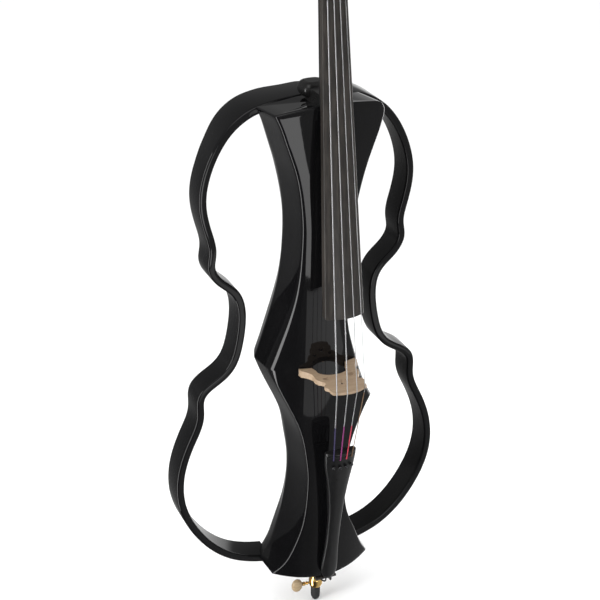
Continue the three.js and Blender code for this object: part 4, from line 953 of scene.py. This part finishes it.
stem = lathe(rounded_profile([(0, 0), (0, 2.0), (9.0, 2.0), (9.0, 3.1), (10.2, 3.1), (10.2, 2.4), (14.0, 2.4), (14.0, 3.3), (18.2, 3.3), (18.2, 0)], 0.35), (-5.35, AXIS_Y, CZ), (-23.6, AXIS_Y, CZ), 28)
o = mesh_object("clamp_stem_gold", *stem)
finish(o, "gold", "endpin_clamp", ["clamp_screw"], 40)
kn = []
for i in range(25):
    t = i / 24
    x = -23.8 - 18.4 * t
    k = math.sqrt(max(0.012, 1 - (2 * t - 1) ** 2 * 0.985))
    kn.append([(x, AXIS_Y + 5.6 * k * math.cos(q), CZ + 12 * k * math.sin(q)) for q in (2 * math.pi * j / 40 for j in range(40))])
o = mesh_object("clamp_wing_knob", *loft(kn))
finish(o, "tan_wood", "endpin_clamp", ["clamp_knob"], 50)

# ------------------------------------------------------------------ rear cover, controls and sockets
C0, C1 = 101.4, 103.9
cov = mesh_object("rear_cover_plate", *round_box(-30.6, 30.6, C0, C1, -104.6, 14.6, 2.0))
cuts = [box(-25.6, 25.6, 90, 110, -97.9, -64.6)]
for x in (-15, 15):
    cuts.append(lathe([(0, 3.6), (20, 3.6)], (x, 90, -10), (x, 110, -10), 24))
for x, ro in ((-14, 6.2), (14, 4.2)):
    cuts.append(lathe([(0, ro - 0.9), (20, ro - 0.9)], (x, 90, -42), (x, 110, -42), 24))
for x in (-28.3, 28.3):
    for z in (12.3, -102.3):
        cuts.append(lathe([(0, 1.75), (10.9 + 1.3, 1.75), (12.5 + 1.5, 3.0), (18, 3.0)], (x, 90.2, z), (x, 110, z), 20))
boolean(cov, cuts)
finish(cov, "plastic_black", "body", ["rear_cover"], 35)
door = mesh_object("battery_door_panel", *round_box(-25.2, 25.2, C0, C1, -97.5, -65, 1.0))
boolean(door, [round_box(-9, 9, C1 - 1.2, 110, -71.5, -68.5, 1.2)])
finish(door, "plastic_black", "battery_lid", ["battery_door"], 35)
for nm, x, node, body in (("volume_dial", -15, "volume_knob", "volume_control"), ("tone_dial", 15, "tone_knob", "tone_control")):
    z = -10
    shaft = lathe([(0, 0), (0, 2.9), (12.5, 2.9), (12.5, 0)], (x, 93.5, z), (x, 110, z), 20)
    rings = []
    for t, r in [(0, 7.6), (0.4, 8.3), (1.2, 8.6), (2.2, 8.5), (8.6, 7.9), (9.6, 7.6), (10.1, 6.9), (10.2, 5.6), (9.8, 5.0), (9.7, 0.1)]:
        ring = []
        for k in range(72):
            q = k / 72 * 2 * math.pi
            rk = r - (0.28 * max(0.0, math.cos(q * 18)) if 1.5 < t < 9.5 and r > 7 else 0)
            ring.append((x + rk * math.cos(q), C1 + 0.8 + t, z + rk * math.sin(q)))
        rings.append(ring)
    mark = round_box(x - 0.45, x + 0.45, C1 + 10.4, C1 + 11.0, z + 2.6, z + 6.6, 0.4)
    o = mesh_object(nm, *merged([shaft, loft(rings), mark]))
    finish(o, "knob_black", body, [node], 35)
for nm, x, r, ro, node in (("jack_bush", -14, 3.3, 6.2, "jack_socket"), ("phones_bush", 14, 1.9, 4.2, "headphone_socket")):
    z = -42
    def ring6(rad, y, six):
        pts = []
        for k in range(48):
            q = k / 48 * 2 * math.pi
            rr = rad / math.cos(((q + math.pi / 6) % (math.pi / 3)) - math.pi / 6) * 0.93 if six else rad
            pts.append((x + rr * math.cos(q), y, z + rr * math.sin(q)))
        return pts
    rs = [ring6(r, 88, 0), ring6(ro - 1.2, 86, 0), ring6(ro - 1.2, C1 + 0.3, 0), ring6(ro + 0.1, C1 + 0.35, 1), ring6(ro + 0.4, C1 + 0.7, 1), ring6(ro + 0.4, C1 + 2.2, 1), ring6(ro - 0.1, C1 + 2.7, 1), ring6(r + 1.0, C1 + 2.8, 0), ring6(r + 0.7, C1 + 3.0, 0), ring6(r + 0.1, C1 + 2.7, 0), ring6(r, C1 + 2.2, 0)]
    v, f = loft(rs, cap=False)
    m = len(rs)
    f += [((m - 1) * 48 + j, (m - 1) * 48 + (j + 1) % 48, (j + 1) % 48, j) for j in range(48)]
    o = mesh_object(nm, v, f)
    finish(o, "steel", "body", [node], 30)

# ------------------------------------------------------------------ CAD nodes that keep their own shape
KEEP = {"pickup_left": "plastic_black", "pickup_right": "plastic_black", "battery": "battery", "preamp_board": "board"}
for n in "CGDA":
    KEEP["tuner_lever_" + n] = "steel"
for k in range(1, 5):
    KEEP["cover_screw_%d" % k] = "steel"
for k in ("top_left", "top_right", "bottom_left", "bottom_right"):
    KEEP["frame_screw_" + k] = "steel"
for n, mname in KEEP.items():
    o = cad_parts[n]
    o.data.materials.clear()
    o.data.materials.append(MATS[mname])
    m = o.modifiers.new("edge", "BEVEL")
    m.width, m.segments, m.limit_method, m.angle_limit = 0.00018, 2, "ANGLE", math.radians(40)

# ------------------------------------------------------------------ floor, light and camera
def pale(name, c, rough):
    m = bpy.data.materials.new(name)
    m.use_nodes = True
    b = m.node_tree.nodes["Principled BSDF"]
    b.inputs["Base Color"].default_value = (c, c, c, 1)
    b.inputs["Roughness"].default_value = rough
    b.inputs["Specular IOR Level"].default_value = 0.0
    return m


me = bpy.data.meshes.new("floor")
S = 14.0
me.from_pydata([(-S, -S, -0.0004), (S, -S, -0.0004), (S, S, -0.0004), (-S, S, -0.0004)], [], [(0, 1, 2, 3)])
floor = link(bpy.data.objects.new("floor", me))
me.materials.append(pale("floor_pale", 0.97, 1.0))
floor.visible_glossy = False

world = bpy.data.worlds.new("studio")
world.use_nodes = True
wn = world.node_tree
white = wn.nodes["Background"]
white.inputs["Color"].default_value = (1, 1, 1, 1)
white.inputs["Strength"].default_value = 1.03
# what polished surfaces see: a dim studio with a darker side, so the lacquer stays black
tcw = wn.nodes.new("ShaderNodeTexCoord")
sep = wn.nodes.new("ShaderNodeSeparateXYZ")
wn.links.new(tcw.outputs["Generated"], sep.inputs["Vector"])
around = wn.nodes.new("ShaderNodeTexGradient")
around.gradient_type = "RADIAL"
wn.links.new(tcw.outputs["Generated"], around.inputs["Vector"])


def ramp(stops):
    n = wn.nodes.new("ShaderNodeValToRGB")
    e = n.color_ramp.elements
    while len(e) < len(stops):
        e.new(0.5)
    for k, (p, v) in enumerate(stops):
        e[k].position, e[k].color = p, (v, v, v, 1)
    n.color_ramp.interpolation = "EASE"
    wn.links.new(around.outputs["Fac"], n.inputs["Fac"])
    return n


low = ramp([(0.0, 0.12), (0.04, 0.10), (0.10, 0.05), (0.19, 0.05), (0.24, 0.20), (0.31, 0.48), (0.50, 0.45), (0.545, 0.5), (0.565, 1.1), (0.60, 1.3), (0.66, 0.8), (0.72, 0.25), (0.745, 0.20), (0.82, 0.18), (0.92, 0.14), (1.0, 0.12)])
high = ramp([(0.0, 0.40), (0.25, 0.55), (0.5, 0.45), (0.64, 0.22), (0.78, 0.22), (1.0, 0.40)])
lift = wn.nodes.new("ShaderNodeMapRange")
lift.interpolation_type = "SMOOTHSTEP"
lift.inputs["From Min"].default_value, lift.inputs["From Max"].default_value = -0.10, 0.12
wn.links.new(sep.outputs["Z"], lift.inputs["Value"])
both = wn.nodes.new("ShaderNodeMix")
both.data_type = "RGBA"
wn.links.new(lift.outputs["Result"], both.inputs["Factor"])
wn.links.new(low.outputs["Color"], both.inputs["A"])
wn.links.new(high.outputs["Color"], both.inputs["B"])
dim = wn.nodes.new("ShaderNodeBackground")
wn.links.new(both.outputs["Result"], dim.inputs["Color"])
pick = wn.nodes.new("ShaderNodeLightPath")
mixw = wn.nodes.new("ShaderNodeMixShader")
wn.links.new(pick.outputs["Is Glossy Ray"], mixw.inputs["Fac"])
wn.links.new(white.outputs["Background"], mixw.inputs[1])
wn.links.new(dim.outputs["Background"], mixw.inputs[2])
wn.links.new(mixw.outputs["Shader"], wn.nodes["World Output"].inputs["Surface"])
bpy.context.scene.world = world


def area(name, at, look, w, h, power, spread=180):
    l = bpy.data.lights.new(name, "AREA")
    l.shape, l.size, l.size_y, l.energy = "RECTANGLE", w, h, power
    l.spread = math.radians(spread)
    o = link(bpy.data.objects.new(name, l))
    o.visible_camera = False
    o.location = at
    o.rotation_mode = "QUATERNION"
    o.rotation_quaternion = (Vector(look) - Vector(at)).to_track_quat("-Z", "Y")
    return o


area("strip_left", (-1.25, -0.25, 0.12), (-0.1, -0.1, 0.22), 0.42, 2.2, 27)
area("low_front", (-0.02, -1.55, 0.12), (-0.02, -0.1, 0.6), 0.5, 0.42, 2.9)
area("floor_card", (0.26, -0.92, 0.02), (0.26, -0.92, 1.0), 0.80, 0.56, 1.4)
area("strip_right", (1.15, 0.55, 0.45), (0.1, 0.0, 0.55), 0.35, 1.5, 12)
area("overhead", (-0.6, -0.9, 2.6), (0, 0, 0.5), 1.6, 1.6, 14)

cam = bpy.data.cameras.new("camera")
cam.sensor_width = 36
cam.lens = 36 * 1511.586 / 600
cam.clip_start, cam.clip_end = 0.05, 60
co = link(bpy.data.objects.new("camera", cam))
th, ph, ro = math.radians(23.350), math.radians(26.119), math.radians(0.132)
back = Vector((-math.sin(th) * math.cos(ph), -math.cos(th) * math.cos(ph), math.sin(ph)))
rt = Vector((math.cos(th), -math.sin(th), 0))
up = back.cross(rt)
r_ = rt * math.cos(ro) + up * math.sin(ro)
u_ = -rt * math.sin(ro) + up * math.cos(ro)
C = Vector((-0.8255, -1.8455, 1.5380))
co.matrix_world = Matrix(((r_.x, u_.x, back.x, C.x), (r_.y, u_.y, back.y, C.y), (r_.z, u_.z, back.z, C.z), (0, 0, 0, 1)))
bpy.context.scene.camera = co
bpy.context.scene.view_settings.view_transform = "Standard"
bpy.context.scene.view_settings.look = "None"
